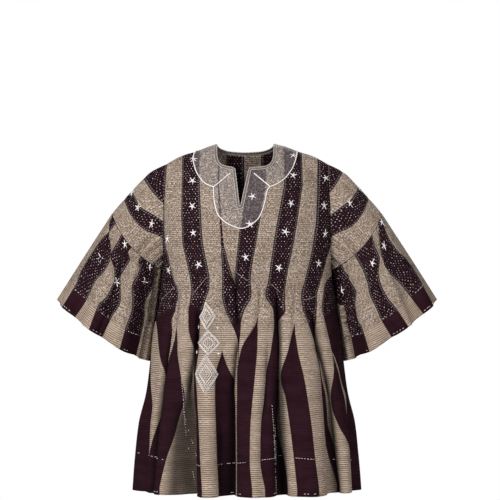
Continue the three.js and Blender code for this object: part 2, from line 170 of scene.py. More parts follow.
@dataclass(frozen=True)
class Crease:
    """Crease or soft ridge on a straight line.

    Start and end are places on the surface, wide is its half width and rise its height,
    below zero for a furrow, all in the surface's own measures. Draw is the share by which
    a furrow draws its two banks together, and an open end runs on without fading.
    """

    start: Point
    end: Point
    wide: float
    rise: float
    draw: float = 0.0
    open_end: bool = False

    def shape(self, a: float, b: float) -> tuple[float, float, float]:
        """Finds what the crease does to the cloth at a place.

        Args:
            a: First measure of the place.
            b: Second measure.

        Returns:
            The lift, and the shift in the first and second measure.
        """
        run = (self.end[0] - self.start[0], self.end[1] - self.start[1])
        length = run[0] ** 2 + run[1] ** 2
        share = ((a - self.start[0]) * run[0] + (b - self.start[1]) * run[1]) / length
        if share <= -0.2 or share >= 1.2:
            return 0.0, 0.0, 0.0
        off_a = a - self.start[0] - share * run[0]
        off_b = b - self.start[1] - share * run[1]
        off = math.hypot(off_a, off_b) / self.wide
        if off > 3.2:
            return 0.0, 0.0, 0.0
        taper = ease(share, -0.2, 0.25)
        if not self.open_end:
            taper *= 1 - ease(share, 0.75, 1.2)
        weight = taper * bell(off)
        pull = -self.draw * weight
        return self.rise * weight, off_a * pull, off_b * pull


def crease_shape(creases: Iterable[Crease], a: float, b: float) -> tuple[float, float, float]:
    """Returns the summed lift and shifts of a set of creases at a place."""
    lift = shift_a = shift_b = 0.0
    for crease in creases:
        one = crease.shape(a, b)
        lift += one[0]
        shift_a += one[1]
        shift_b += one[2]
    return lift, shift_a, shift_b


@dataclass(frozen=True)
class Levels:
    """Heights and seam sizes that the whole gown shares."""

    waist: float = -336.0
    hem: float = -822.0
    underarm: float = -290.0
    seam_gap: float = 0.3
    cloth: float = 1.6


LEVELS = Levels()
SHOULDER_Z = TableCurve((0, 70, 120, 154, 192, 215), (3, 0, -16, -26, -46, -60))
YOKE_EDGE = TableCurve((0, 0.35, 0.84, 1), (192, 197, 200, 206))
DROPS = (0, 8, 30, 64, 110, 170, 240, 336)
PROFILE = {
    Face.FRONT: TableCurve(DROPS, (0, 20, 42, 66, 92, 114, 126, 130)),
    Face.BACK: TableCurve(DROPS, (0, 22, 48, 76, 98, 111, 116, 117))
}
SKIRT_Z = (-336, -400, -454, -518, -590, -665, -744, -822)
SKIRT_HALF = TableCurve(SKIRT_Z, (206, 214, 225, 231, 240, 257, 265, 271))
SKIRT_DEPTH = {
    Face.FRONT: TableCurve(SKIRT_Z, (130, 138, 144, 149, 153, 158, 162, 166)),
    Face.BACK: TableCurve(SKIRT_Z, (117, 126, 133, 139, 145, 151, 156, 160))
}
YOKE_POWER = 2.6
HEM_POWER = 2.2
ARMHOLE_EDGE_DEPTH = 0.52
ARMHOLE_TOP_Z = SHOULDER_Z.at(192)
UNDERARM_SHARE = (ARMHOLE_TOP_Z - LEVELS.underarm) / (ARMHOLE_TOP_Z - LEVELS.waist)
GATHER_LENGTH = 95.0

FOLDS = {
    Face.FRONT: rows_of(
        Fold,
        (-80, -78, 6, 6, -480), (-68, -64, 5, -11, -450), (-54, -46, 9, 13, -380),
        (-31, -28.4, 4.6, -23, -500), (-20, -17, 6.5, 15, -350), (-10, -7.4, 4.2, -17, -400),
        (0, 1, 5, 10, -380), (8, 9.6, 3.6, 9, -430), (17, 15.5, 4.2, -22, -470), (30, 31, 10, 16, -360),
        (43, 46, 4.6, -20, -430), (60, 57, 7, 10, -420), (72, 70, 5, -10, -470), (82, 80, 5, 5, -480)
    ),
    Face.BACK: rows_of(
        Fold,
        (-79, -77, 6, 6, -470), (-66, -63, 5, -12, -440), (-50, -49, 9, 14, -370),
        (-35, -33, 4.6, -21, -460), (-23, -20, 7, 14, -360), (-7, -8, 4.4, -19, -420),
        (5, 4, 6.5, 15, -370), (17, 19, 4.6, -22, -450), (33, 32, 8.5, 14, -360),
        (47, 46, 4.6, -18, -430), (61, 60, 7, 11, -410), (74, 73, 5, -9, -470)
    )
}
GATHERS = {
    Face.FRONT: rows_of(
        Gather,
        (-52, 4, 7), (-37, 3.6, 5), (-22, 3.4, 8), (-11, 3.2, 6), (1, 3.2, 6), (9, 3, 7),
        (21, 3.4, 7), (32, 3.6, 7), (50, 4, 6)
    ),
    Face.BACK: rows_of(
        Gather,
        (-54, 4, 6), (-40, 3.6, 7), (-27, 3.4, 6), (-13, 3.2, 7), (-1, 3.2, 6), (12, 3.2, 8),
        (25, 3.4, 6), (39, 3.6, 7), (55, 4, 6)
    )
}


# Creases of the body: sharp furrows between the pleats, rounded lobes under the
# gathers, and soft drag lines; places are distance across and height
FRONT_CREASES = rows_of(
    Crease,
    ((-117, -392), (-121, -474), 8.5, -15, 0.8), ((-121, -460), (-137, -580), 8.5, -16, 0.85),
    ((-136, -560), (-134, -822), 10.5, -24, 0.9, True), ((-27, -306), (-21, -430), 8.0, -14, 0.8),
    ((-22, -460), (-37, -580), 8.5, -16, 0.85), ((-37, -560), (-38, -822), 10.5, -24, 0.9, True),
    ((71, -352), (76, -450), 9.5, -19, 0.88), ((76, -430), (80, -600), 9.0, -17, 0.85),
    ((79, -570), (86, -822), 10.5, -24, 0.9, True), ((158, -396), (172, -500), 9.0, -15, 0.8),
    ((172, -480), (194, -590), 9.0, -16, 0.85), ((193, -570), (214, -822), 10.0, -20, 0.85, True),
    ((-176, -430), (-196, -560), 8.0, -12, 0.7), ((-198, -560), (-224, -822), 9.5, -16, 0.8, True),
    ((0, -298), (6, -352), 9.5, 7), ((78, -318), (85, -374), 10.5, 8),
    ((-142, -330), (-136, -372), 9.0, 5), ((146, -336), (150, -382), 9.0, 5),
    ((-100, -352), (-84, -470), 13.0, 6), ((14, -396), (8, -500), 11.0, 6),
    ((96, -410), (98, -560), 12.0, 6), ((20, -560), (18, -822), 15.0, 7, 0.0, True),
    ((122, -520), (150, -822), 17.0, 8, 0.0, True), ((-152, -610), (-166, -822), 25.0, -14, 0.15, True),
    ((-84, -560), (-92, -822), 16.0, 8, 0.0, True), ((48, -470), (40, -640), 7.0, -9, 0.6),
    ((-60, -650), (-58, -822), 8.0, -9, 0.5, True), ((-104, -350), (-100, -400), 7.0, -6, 0.4),
    ((30, -340), (26, -410), 6.5, -7, 0.5), ((112, -345), (106, -420), 6.5, -7, 0.5),
    ((-160, -345), (-164, -430), 7.0, -7, 0.5), ((-60, -262), (-34, -300), 9.0, -3.0),
    ((-150, -250), (-120, -300), 10.0, -3.2), ((120, -262), (96, -306), 10.0, -3.2),
    ((30, -262), (44, -306), 9.0, -3.0), ((-186, -120), (-150, -60), 12.0, -3.0),
    ((186, -120), (150, -62), 12.0, -3.0), ((-188, -210), (-140, -150), 14.0, 2.6),
    ((190, -220), (146, -160), 14.0, 2.6), ((-190, -270), (-160, -240), 9.0, -3.2),
    ((192, -276), (160, -246), 9.0, -3.2)
)
BACK_CREASES = rows_of(
    Crease,
    ((-132, -352), (-136, -480), 9.0, -15, 0.8),
    ((-136, -460), (-150, -822), 10.0, -20, 0.88, True), ((-70, -346), (-72, -480), 8.5, -14, 0.8),
    ((-30, -352), (-26, -600), 9.0, -16, 0.85), ((-26, -570), (-34, -822), 10.0, -22, 0.9, True),
    ((32, -350), (36, -500), 8.0, -14, 0.8), ((76, -356), (82, -580), 9.0, -17, 0.85),
    ((82, -550), (94, -822), 10.5, -23, 0.9, True), ((150, -372), (166, -570), 9.0, -14, 0.8),
    ((166, -550), (192, -822), 10.5, -19, 0.85, True), ((-190, -420), (-214, -822), 9.0, -13, 0.7, True),
    ((-98, -350), (-104, -500), 12.0, 6), ((8, -346), (6, -520), 12.0, 6),
    ((112, -352), (120, -520), 12.0, 6), ((-54, -560), (-62, -822), 15.0, 7, 0.0, True),
    ((60, -560), (62, -822), 15.0, 7, 0.0, True), ((-168, -560), (-178, -822), 15.0, 6, 0.0, True),
    ((138, -560), (150, -822), 15.0, 7, 0.0, True), ((-120, -262), (-96, -308), 10.0, -3.0),
    ((-20, -262), (-36, -308), 9.0, -2.8), ((66, -262), (50, -306), 9.0, -2.8),
    ((150, -256), (122, -304), 10.0, -3.0), ((-186, -130), (-146, -70), 12.0, -3.0),
    ((186, -126), (148, -70), 12.0, -3.0), ((-120, -110), (120, -118), 26.0, 2.0),
    ((-90, -190), (100, -184), 24.0, -2.0)
)


def armhole_share(share: float) -> float:
    """Returns how deep the armhole edge lies, as a share of the full depth at that level."""
    left = max(0.0, 1 - (share / UNDERARM_SHARE) ** 4)
    return ARMHOLE_EDGE_DEPTH * math.sqrt(left)


def yoke_point(face: Face, x: float, share: float) -> Vector:
    """Finds a point of the yoke's outer face.

    Args:
        face: Front or back.
        x: Distance across from the centre.
        share: Share of the way down from the shoulder to the waist.

    Returns:
        The point, in millimetres.
    """
    top = SHOULDER_Z.at(abs(x))
    z = lerp(top, LEVELS.waist + LEVELS.seam_gap / 2, share)
    edge = YOKE_EDGE.at(share)
    full = edge / (1 - armhole_share(share) ** YOKE_POWER) ** (1 / YOKE_POWER)
    across = min(1.0, abs(x) / full)
    depth = PROFILE[face].at(top - z) * (1 - across**YOKE_POWER) ** (1 / YOKE_POWER)
    return Vector((x, face.value * (depth + LEVELS.seam_gap / 2), z))


def fold_rise(face: Face, turn: float, z: float) -> float:
    """Returns how far the long folds and gathers lift the skirt, in millimetres."""
    down = clamp((LEVELS.waist - z) / (LEVELS.waist - LEVELS.hem))
    total = 0.0
    for fold in FOLDS[face]:
        off = (turn - lerp(fold.waist, fold.hem, down)) / fold.wide
        if abs(off) < 3.5:
            total += fold.rise * ease(-z, -fold.start, -LEVELS.hem) ** 0.7 * bell(off)
    under = (LEVELS.waist - z) / GATHER_LENGTH
    if under < 1:
        fade = max(0.0, math.sin(math.pi * min(1.0, under * 1.3 + 0.12)))
        total -= sum(g.pinch * fade * bell((turn - g.turn) / g.wide) for g in GATHERS[face])
    return total


def skirt_point(face: Face, turn: float, z: float) -> Vector:
    """Finds a point of the skirt's outer face.

    Args:
        face: Front or back.
        turn: Degrees round from the centre line, to the wearer's left above zero.
        z: Height.

    Returns:
        The point, in millimetres.
    """
    power = lerp(YOKE_POWER, HEM_POWER, (LEVELS.waist - z) / (LEVELS.waist - LEVELS.hem))
    half = SKIRT_HALF.at(z)
    depth = SKIRT_DEPTH[face].at(z)
    sine = math.sin(math.radians(turn))
    cosine = max(0.0, math.cos(math.radians(turn)))
    x = math.copysign(half * abs(sine) ** (2 / power), sine)
    y = depth * cosine ** (2 / power)
    out_x = math.copysign(abs(x / half) ** (power - 1) / half, x)
    out_y = (y / depth) ** (power - 1) / depth
    size = math.hypot(out_x, out_y)
    rise = fold_rise(face, turn, z) * ease(90 - abs(turn), 0, 12)
    return Vector(
        (x + out_x / size * rise, face.value * (y + out_y / size * rise + LEVELS.seam_gap / 2), z)
    )


def skirt_turn(x: float, z: float) -> float:
    """Returns the turn in degrees at which the plain skirt section is x across."""
    power = lerp(YOKE_POWER, HEM_POWER, clamp((LEVELS.waist - z) / (LEVELS.waist - LEVELS.hem)))
    across = clamp(abs(x) / SKIRT_HALF.at(z)) ** (power / 2)
    return math.copysign(math.degrees(math.asin(across)), x)


# Sleeve on the wearer's right; the other one is its mirror image
CAP_SHARES = (0, 0.22, 0.42, 0.7, 1)
CAP_TOP_X = TableCurve(CAP_SHARES, (-192, -232, -264, -291, -323))
CAP_TOP_Z = TableCurve(CAP_SHARES, (-46, -67, -99, -128, -165))
CAP_UNDER: Point = (-207.5, -298)
CAP_HALF_DEPTH = 66.0
CAP_BOW = 15.0
CUFF_TOP: Point = (-455, -370)
CUFF_UNDER: Point = (-238, -517)
CUFF_HALF_DEPTH = 104.0
CUFF_BOW = 8.0
FLARE_SWELL = 7.0
# Folds of the flare: turn from the top line, width in degrees, rise in millimetres
FLARE_FOLDS = (
    (20, 8, -5), (42, 9, 10), (62, 8, -10), (81, 9, 11), (98, 7, -9), (118, 10, 12), (143, 8, -9),
    (-24, 9, 9), (-48, 8, -9), (-72, 10, 12), (-96, 8, -9), (-118, 9, 10), (-142, 8, -8)
)


# Creases of the sleeves: turn in degrees and share of the length
CAP_CREASES = rows_of(
    Crease,
    ((180, 0.3), (180, 1.0), 20.0, 5.5, 0.0, True), ((146, 0.1), (152, 1.0), 10.0, -8, 0.0, True),
    ((214, 0.1), (208, 1.0), 10.0, -8, 0.0, True), ((70, 0.55), (78, 1.0), 6.0, -2.2, 0.0, True),
    ((112, 0.5), (106, 1.0), 6.0, -2.4, 0.0, True), ((38, 0.6), (34, 1.0), 6.0, -2.0, 0.0, True),
    ((58, 0.0), (62, 0.3), 4.0, -2.5), ((84, 0.0), (80, 0.34), 4.5, -3.0),
    ((106, 0.0), (110, 0.3), 4.5, -3.0), ((126, 0.0), (122, 0.36), 4.5, -3.2),
    ((300, 0.0), (296, 0.3), 4.0, -2.5), ((272, 0.0), (276, 0.34), 4.5, -3.0),
    ((250, 0.0), (246, 0.3), 4.5, -3.0), ((290, 0.55), (282, 1.0), 6.0, -2.2, 0.0, True),
    ((244, 0.5), (252, 1.0), 6.0, -2.4, 0.0, True)
)
FLARE_CREASES = rows_of(
    Crease,
    ((180, -0.4), (180, 1.3), 20.0, 6.0, 0.0, True), ((30, 0.0), (27, 0.5), 5.0, -4),
    ((52, 0.0), (56, 0.7), 5.5, -5), ((76, 0.0), (72, 0.5), 5.0, 3.5), ((90, 0.0), (92, 0.8), 5.5, -6),
    ((112, 0.0), (108, 0.6), 5.0, 3.5), ((130, 0.05), (134, 0.9), 5.5, -6),
    ((152, -0.3), (158, 1.0), 10.0, -12, 0.0, True), ((208, -0.3), (204, 1.0), 10.0, -12, 0.0, True),
    ((232, 0.0), (228, 0.7), 5.5, -5), ((258, 0.0), (262, 0.6), 5.0, 3.5),
    ((282, 0.0), (278, 0.8), 5.5, -6), ((306, 0.0), (310, 0.5), 5.0, 3.0),
    ((330, 0.0), (326, 0.6), 5.5, -5)
)


def sleeve_ring(top: Point, under: Point, half_depth: float, bow: float, turn: float) -> Vector:
    """Finds a point on a ring of the sleeve.

    Args:
        top: Across and height of the ring's highest point.
        under: Across and height of its lowest point.
        half_depth: Half of the ring's depth from front to back.
        bow: How far the front and back lean along the sleeve.
        turn: Degrees round from the top line, 90 at the front.

    Returns:
        The point, in millimetres.
    """
    angle = math.radians(turn)
    slope = Vector((top[0] - under[0], top[1] - under[1]))
    along = Vector((slope.y, -slope.x)).normalized()
    if along.y > 0:
        along.negate()
    lean = bow * math.sin(angle) ** 2
    share = (1 + math.cos(angle)) / 2
    return Vector(
        (
            lerp(under[0], top[0], share) + along.x * lean, -half_depth * math.sin(angle),
            lerp(under[1], top[1], share) + along.y * lean
        )
    )


def cap_point(turn: float, share: float) -> Vector:
    """Finds a point of the sleeve cap.

    Args:
        turn: Degrees round from the top line, 90 at the front.
        share: 0 at the armhole, 1 at the flare seam.

    Returns:
        The point, in millimetres.
    """
    angle = math.radians(turn)
    down = UNDERARM_SHARE * (1 - math.cos(angle)) / 2
    face = Face.FRONT if turn <= 180 else Face.BACK
    edge = yoke_point(face, -YOKE_EDGE.at(down), down)
    top = (CAP_TOP_X.at(share), CAP_TOP_Z.at(share))
    arm_x = -YOKE_EDGE.at(UNDERARM_SHARE)
    under = (lerp(arm_x, CAP_UNDER[0], share), lerp(LEVELS.underarm, CAP_UNDER[1], share))
    ring = sleeve_ring(top, under, CAP_HALF_DEPTH, CAP_BOW * share, turn)
    arm_top = (CAP_TOP_X.at(0), CAP_TOP_Z.at(0))
    chord = sleeve_ring(arm_top, (arm_x, LEVELS.underarm), 0, 0, turn)
    keep = 1 - share
    edge_y = 0.0 if turn in (0, 180, 360) else edge.y
    return Vector(
        (
            ring.x + keep * (edge.x - chord.x) - LEVELS.seam_gap * keep, lerp(edge_y, ring.y, share),
            ring.z + keep * (edge.z - chord.z)
        )
    )


def flare_point(turn: float, share: float) -> Vector:
    """Finds a point of the sleeve flare.

    Args:
        turn: Degrees round from the top line, 90 at the front.
        share: 0 at the cap seam, 1 at the cuff.

    Returns:
        The point, in millimetres.
    """
    top = (lerp(CAP_TOP_X.at(1), CUFF_TOP[0], share), lerp(CAP_TOP_Z.at(1), CUFF_TOP[1], share))
    under = (lerp(CAP_UNDER[0], CUFF_UNDER[0], share), lerp(CAP_UNDER[1], CUFF_UNDER[1], share))
    grown = max(0.0, share) ** 0.8
    half_depth = lerp(CAP_HALF_DEPTH, CUFF_HALF_DEPTH, grown)
    point = sleeve_ring(top, under, half_depth, lerp(CAP_BOW, CUFF_BOW, share), turn)
    centre = Vector(((top[0] + under[0]) / 2, 0, (top[1] + under[1]) / 2))
    signed = turn - 360 if turn > 180 else turn
    ripple = sum(rise * bell((signed - at) / wide) for at, wide, rise in FLARE_FOLDS)
    swell = FLARE_SWELL * math.sin(math.pi * share) * abs(math.sin(math.radians(turn)))
    return point + (point - centre).normalized() * (ripple * grown + swell)


@dataclass
class Surface:
    """Cloth surface read by two measures, with its creases laid over it."""

    form: Callable[[float, float], Vector]
    inside: Callable[[float, float], Vector]
    creases: Sequence[Crease] = ()
    steps: Point = (1.5, 1.5)

    def normal(self, a: float, b: float) -> Vector:
        """Returns the outward normal of the plain form at a place."""
        across = self.form(a + self.steps[0], b) - self.form(a - self.steps[0], b)
        down = self.form(a, b + self.steps[1]) - self.form(a, b - self.steps[1])
        normal = across.cross(down)
        if normal.length < 1e-9:
            normal = self.form(a, b) - self.inside(a, b)
        normal.normalize()
        if normal.dot(self.form(a, b) - self.inside(a, b)) < 0:
            normal.negate()
        return normal

    def at(self, a: float, b: float, lift: float = 0.0) -> Vector:
        """Finds a place on the creased surface.

        Args:
            a: First measure of the place.
            b: Second measure.
            lift: Height above the cloth, in millimetres.

        Returns:
            The point, in millimetres.
        """
        rise, shift_a, shift_b = crease_shape(self.creases, a, b)
        a += shift_a
        b += shift_b
        return self.form(a, b) + self.normal(a, b) * (lift + rise)

    def depth(self, a: float, b: float) -> float:
        """Returns how deep a place lies in a fold, from 0 to 1."""
        return clamp(-crease_shape(self.creases, a, b)[0] / 15)


def body_form(face: Face) -> Callable[[float, float], Vector]:
    """Returns the function from (across, height) to a point of the body on one face."""

    def form(x: float, z: float) -> Vector:
        """Returns the point of the yoke or the skirt at a distance across and a height."""
        if z < LEVELS.waist:
            return skirt_point(face, skirt_turn(x, z), z)
        top = SHOULDER_Z.at(abs(x))
        share = clamp((top - z) / (top - LEVELS.waist))
        edge = YOKE_EDGE.at(share)
        return yoke_point(face, max(-edge, min(edge, x)), share)

    return form


@dataclass(frozen=True)
class StripPlan:
    """Woven strips side by side: the edges between them, and which strips are dark.

    Levels are the heights, or shares of the length, at which the edges were measured, and
    edges holds one row of places for each edge. Where two edges meet, the strip is pleated
    away or a gore begins.
    """

    levels: tuple[float, ...]
    edges: tuple[tuple[float, ...], ...]
    kinds: tuple[Stripe, ...]
    steps: int = 720
    least: float = 0.6
    table: list[list[float]] = field(default_factory=list, compare=False)

    def __post_init__(self) -> None:
        """Reads the smooth edges at close steps, and keeps each beyond the one before it."""
        curves = [TableCurve(self.levels, row) for row in self.edges]
        low, high = min(self.levels), max(self.levels)
        for i in range(self.steps + 1):
            level = lerp(low, high, i / self.steps)
            line = [curves[0].at(level)]
            for curve in curves[1:]:
                place = curve.at(level)
                line.append(place if place > line[-1] + self.least else line[-1])
            self.table.append(line)

    def edge(self, index: int, level: float) -> float:
        """Returns where an edge lies at a level."""
        low, high = min(self.levels), max(self.levels)
        step = clamp((level - low) / (high - low)) * self.steps
        i = min(int(step), self.steps - 1)
        return lerp(self.table[i][index], self.table[i + 1][index], step - i)


T, D = Stripe.TAN, Stripe.DARK


def alternate(first: Stripe, count: int) -> tuple[Stripe, ...]:
    """Returns a number of strips that change between tan and dark."""
    other = D if first is T else T
    return tuple(other if k % 2 else first for k in range(count))


OUT = 400.0
FRONT_STRIPS = StripPlan(
    levels=(-99, -229, -326, -357, -391, -421, -484, -541, -598, -667, -736, -804),
    edges=(
        (-OUT,) * 12, (-OUT, -OUT, -OUT, -OUT, -OUT, -OUT, -231, -228, -228, -229, -231, -240),
        (-OUT, -OUT, -OUT, -OUT, -OUT, -217, -207, -198, -201, -216, -231, -240),
        (-196, -194, -172, -168, -170, -178, -184, -192, -201, -216, -231, -240),
        (-173, -169, -155, -152, -156, -161, -173, -192, -201, -216, -231, -240),
        (-173, -169, -155, -152, -156, -161, -162, -155, -149, -166, -186, -199),
        (-154, -151, -132, -130, -136, -136, -129, -124, -126, -128, -130, -132),
        (-112, -104, -88, -94, -105, -108, -111, -118, -115, -109, -104, -98),
        (-87, -81, -72, -74, -76, -69, -59, -72, -74, -72, -69, -64),
        (-87, -81, -72, -74, -76, -69, -58, -42, -34, -32, -31, -30),
        (-69, -61, -57, -58, -50, -36, -18, -21, -22, -23, -23, -24),
        (-65, -55, -32, -25, -29, -25, -18, -21, -22, -23, -23, -24),
        (2, -19, -27, -24, -29, -25, -18, -21, -22, -23, -23, -24),
        (45, 22, 8, 10, -6, -13, -17, -21, -22, -23, -23, -24),
        (66, 45, 31, 28, 27, 21, -13, -21, -22, -23, -23, -24),
        (66, 45, 31, 28, 27, 25, 23, 18, 12, 7, 6, 11), (88, 64, 50, 45, 60, 62, 57, 46, 38, 32, 31, 42),
        (131, 110, 91, 87, 90, 78, 76, 74, 79, 83, 90, 95),
        (152, 134, 114, 111, 118, 110, 96, 85, 93, 102, 109, 115),
        (152, 134, 114, 111, 118, 110, 116, 127, 135, 144, 150, 158),
        (169, 157, 136, 130, 132, 142, 161, 171, 180, 188, 197, 208),
        (203, 199, 174, 169, 165, 168, 168, 174, 185, 193, 207, 219),
        (OUT, OUT, 188, 181, 178, 184, 197, 203, 203, 216, 243, 248),
        (OUT, OUT, 188, 181, 178, 184, 197, 214, 233, 244, 252, 258),
        (OUT, OUT, 188, 181, 178, 184, 197, 219, 235, 244, 252, 258), (OUT,) * 12
    ),
    kinds=alternate(D, 25)
)
BACK_STRIPS = StripPlan(
    levels=(-60, -230, -336, -380, -480, -600, -700, -822),
    edges=(
        (-OUT,) * 8, (-190, -190, -188, -195, -214, -228, -246, -258),
        (-190, -190, -188, -190, -200, -213, -228, -241),
        (-172, -170, -168, -171, -184, -200, -214, -227),
        (-133, -131, -126, -129, -142, -156, -166, -178), (-94, -92, -88, -90, -100, -112, -122, -134),
        (-70, -69, -66, -68, -78, -94, -104, -114), (-70, -69, -66, -68, -72, -72, -76, -80),
        (-49, -47, -44, -44, -46, -50, -54, -57), (-8, -8, -6, -6, -6, -7, -9, -11),
        (35, 34, 32, 32, 33, 34, 36, 38), (75, 74, 70, 71, 75, 79, 82, 85),
        (97, 96, 91, 92, 97, 100, 103, 107), (97, 96, 91, 92, 104, 120, 131, 142),
        (118, 117, 112, 113, 125, 142, 153, 164), (157, 156, 150, 153, 166, 184, 198, 212),
        (191, 190, 186, 190, 203, 222, 236, 250), (OUT,) * 8
    ),
    kinds=alternate(D, 17)
)
# Bands of each sleeve cap: distance from the flare seam; the last one ends at the armhole
RIGHT_BANDS = (0.0, 49.0, 86.5, 124.0, OUT)
LEFT_BANDS = (0.0, 53.0, 100.0, 143.0, OUT)
CAP_KINDS = (T, D, T, D)
RIGHT_FLARE_STRIPS = StripPlan(
    levels=(0.0, 0.06, 0.11, 0.2, 0.25, 0.31, 0.42, 0.57, 0.74, 1.0),
    edges=(
        (0,) * 10, (20, 24, 43, 39, 38, 37, 37, 38, 43.5, 42),
        (45, 44.5, 45.5, 63, 68.5, 70.5, 69, 62, 61.5, 57),
        (68, 68, 67.5, 66, 68.5, 82, 87.5, 86.5, 81, 81.5),
        (93.6, 91, 98, 95.5, 94, 92.5, 97, 103, 99, 96),
        (116, 112.5, 116.5, 115, 113, 111, 115, 118, 116, 116),
        (148, 150, 152, 151.6, 149, 145, 140, 145, 146, 146), (176,) * 10, (196,) * 10, (216,) * 10,
        (236,) * 10, (258,) * 10, (280,) * 10, (302,) * 10, (324,) * 10, (343,) * 10, (360,) * 10
    ),
    kinds=alternate(T, 16)
)
LEFT_FLARE_STRIPS = StripPlan(
    levels=(0.0, 0.12, 0.22, 0.34, 0.45, 0.6, 0.75, 1.0),
    edges=(
        (0,) * 8, (22, 41, 45, 44, 37, 25, 26, 31), (46, 62, 70, 74, 69.5, 61.5, 57, 52),
        (69, 75, 75.5, 85.5, 87.5, 86, 82, 77), (110, 106, 103.5, 103, 104.4, 102.4, 101, 96),
        (140, 134, 127, 120.5, 126.5, 128.4, 123.2, 122), (176, 176, 175, 168, 154, 159, 149, 150),
        (180,) * 8, (198,) * 8, (216,) * 8, (236,) * 8, (258,) * 8, (280,) * 8, (302,) * 8, (324,) * 8,
        (343,) * 8, (360,) * 8
    ),
    kinds=alternate(T, 16)
)


def from_screen(red: int, green: int, blue: int) -> Colour:
    """Returns a colour given in screen values as the linear colour that shaders use."""

    def channel(value: int) -> float:
        """Returns one linear channel."""
        share = value / 255
        return share / 12.92 if share <= 0.04045 else ((share + 0.055) / 1.055) ** 2.4

    return (channel(red), channel(green), channel(blue), 1.0)


class Wiring:
    """Places and joins the nodes of one tree."""

    def __init__(self, tree: bpy.types.NodeTree) -> None:
        """Keeps the tree that the nodes go into."""
        self.tree = tree

    def add(self, kind: str, **settings: object) -> bpy.types.Node:
        """Returns a new node of a kind, with its settings made."""
        node = self.tree.nodes.new(kind)
        for name, value in settings.items():
            setattr(node, name, value)
        return node

    def feed(self, target: bpy.types.NodeSocket, value: object) -> None:
        """Joins another node's socket to the target, or sets a plain value on it."""
        if isinstance(value, bpy.types.NodeSocket):
            self.tree.links.new(value, target)
        else:
            target.default_value = value

    def sum(self, operation: str, *values: object, held: bool = False) -> bpy.types.NodeSocket:
        """Returns the result of one Math operation; held keeps it between 0 and 1."""
        node = self.add("ShaderNodeMath", operation=operation, use_clamp=held)
        for socket, value in zip(node.inputs, values):
            self.feed(socket, value)
        return node.outputs[0]

    def step(self, value: object, low: float, high: float) -> bpy.types.NodeSocket:
        """Returns a smooth step of value from 0 at low to 1 at high."""
        node = self.add("ShaderNodeMapRange", interpolation_type="SMOOTHSTEP")
        self.feed(node.inputs["Value"], value)
        node.inputs["From Min"].default_value = low
        node.inputs["From Max"].default_value = high
        return node.outputs["Result"]

    def blend(self, share: object, first: object, second: object) -> bpy.types.NodeSocket:
        """Returns the mix of two colours by a share."""
        node = self.add("ShaderNodeMix", data_type="RGBA")
        self.feed(node.inputs["Factor"], share)
        self.feed(node.inputs[6], first)
        self.feed(node.inputs[7], second)
        return node.outputs[2]

    def noise(self, place: object, scale: float, detail: float = 2.0) -> bpy.types.NodeSocket:
        """Returns cloudy noise read at a place, from 0 to 1."""
        node = self.add("ShaderNodeTexNoise")
        self.feed(node.inputs["Vector"], place)
        node.inputs["Scale"].default_value = scale
        node.inputs["Detail"].default_value = detail
        return node.outputs["Factor" if "Factor" in node.outputs else "Fac"]

    def parts(self, place: object) -> tuple[bpy.types.NodeSocket, ...]:
        """Returns the three parts of a place."""
        node = self.add("ShaderNodeSeparateXYZ")
        self.feed(node.inputs[0], place)
        return tuple(node.outputs)

    def place(self, *values: object) -> bpy.types.NodeSocket:
        """Returns a place made of three parts."""
        node = self.add("ShaderNodeCombineXYZ")
        for socket, value in zip(node.inputs, values):
            self.feed(socket, value)
        return node.outputs[0]

    def bump(self, height: object, depth: float) -> bpy.types.NodeSocket:
        """Returns the normal of a relief of a depth in metres."""
        node = self.add("ShaderNodeBump")
        node.inputs["Distance"].default_value = depth
        self.feed(node.inputs["Height"], height)
        return node.outputs["Normal"]

    def attribute(self, name: str) -> bpy.types.Node:
        """Returns the node that reads one of the piece's own attributes."""
        return self.add("ShaderNodeAttribute", attribute_name=name)


def new_group(
    name: str, inputs: Sequence[tuple[str, str]], outputs: Sequence[tuple[str, str]]
) -> tuple[bpy.types.NodeTree, Wiring, bpy.types.Node, bpy.types.Node]:
    """Makes an empty shader group.

    Args:
        name: The group's name.
        inputs: Name and socket type of each input.
        outputs: Name and socket type of each output.

    Returns:
        The group, its wiring, and its input and output nodes.
    """
    group = bpy.data.node_groups.new(name, "ShaderNodeTree")
    for label, kind in inputs:
        group.interface.new_socket(label, in_out="INPUT", socket_type=kind)
    for label, kind in outputs:
        group.interface.new_socket(label, in_out="OUTPUT", socket_type=kind)
    wiring = Wiring(group)
    return group, wiring, wiring.add("NodeGroupInput"), wiring.add("NodeGroupOutput")


YARN_RUN = 5200.0
VALUE = "NodeSocketFloat"
VECTOR = "NodeSocketVector"


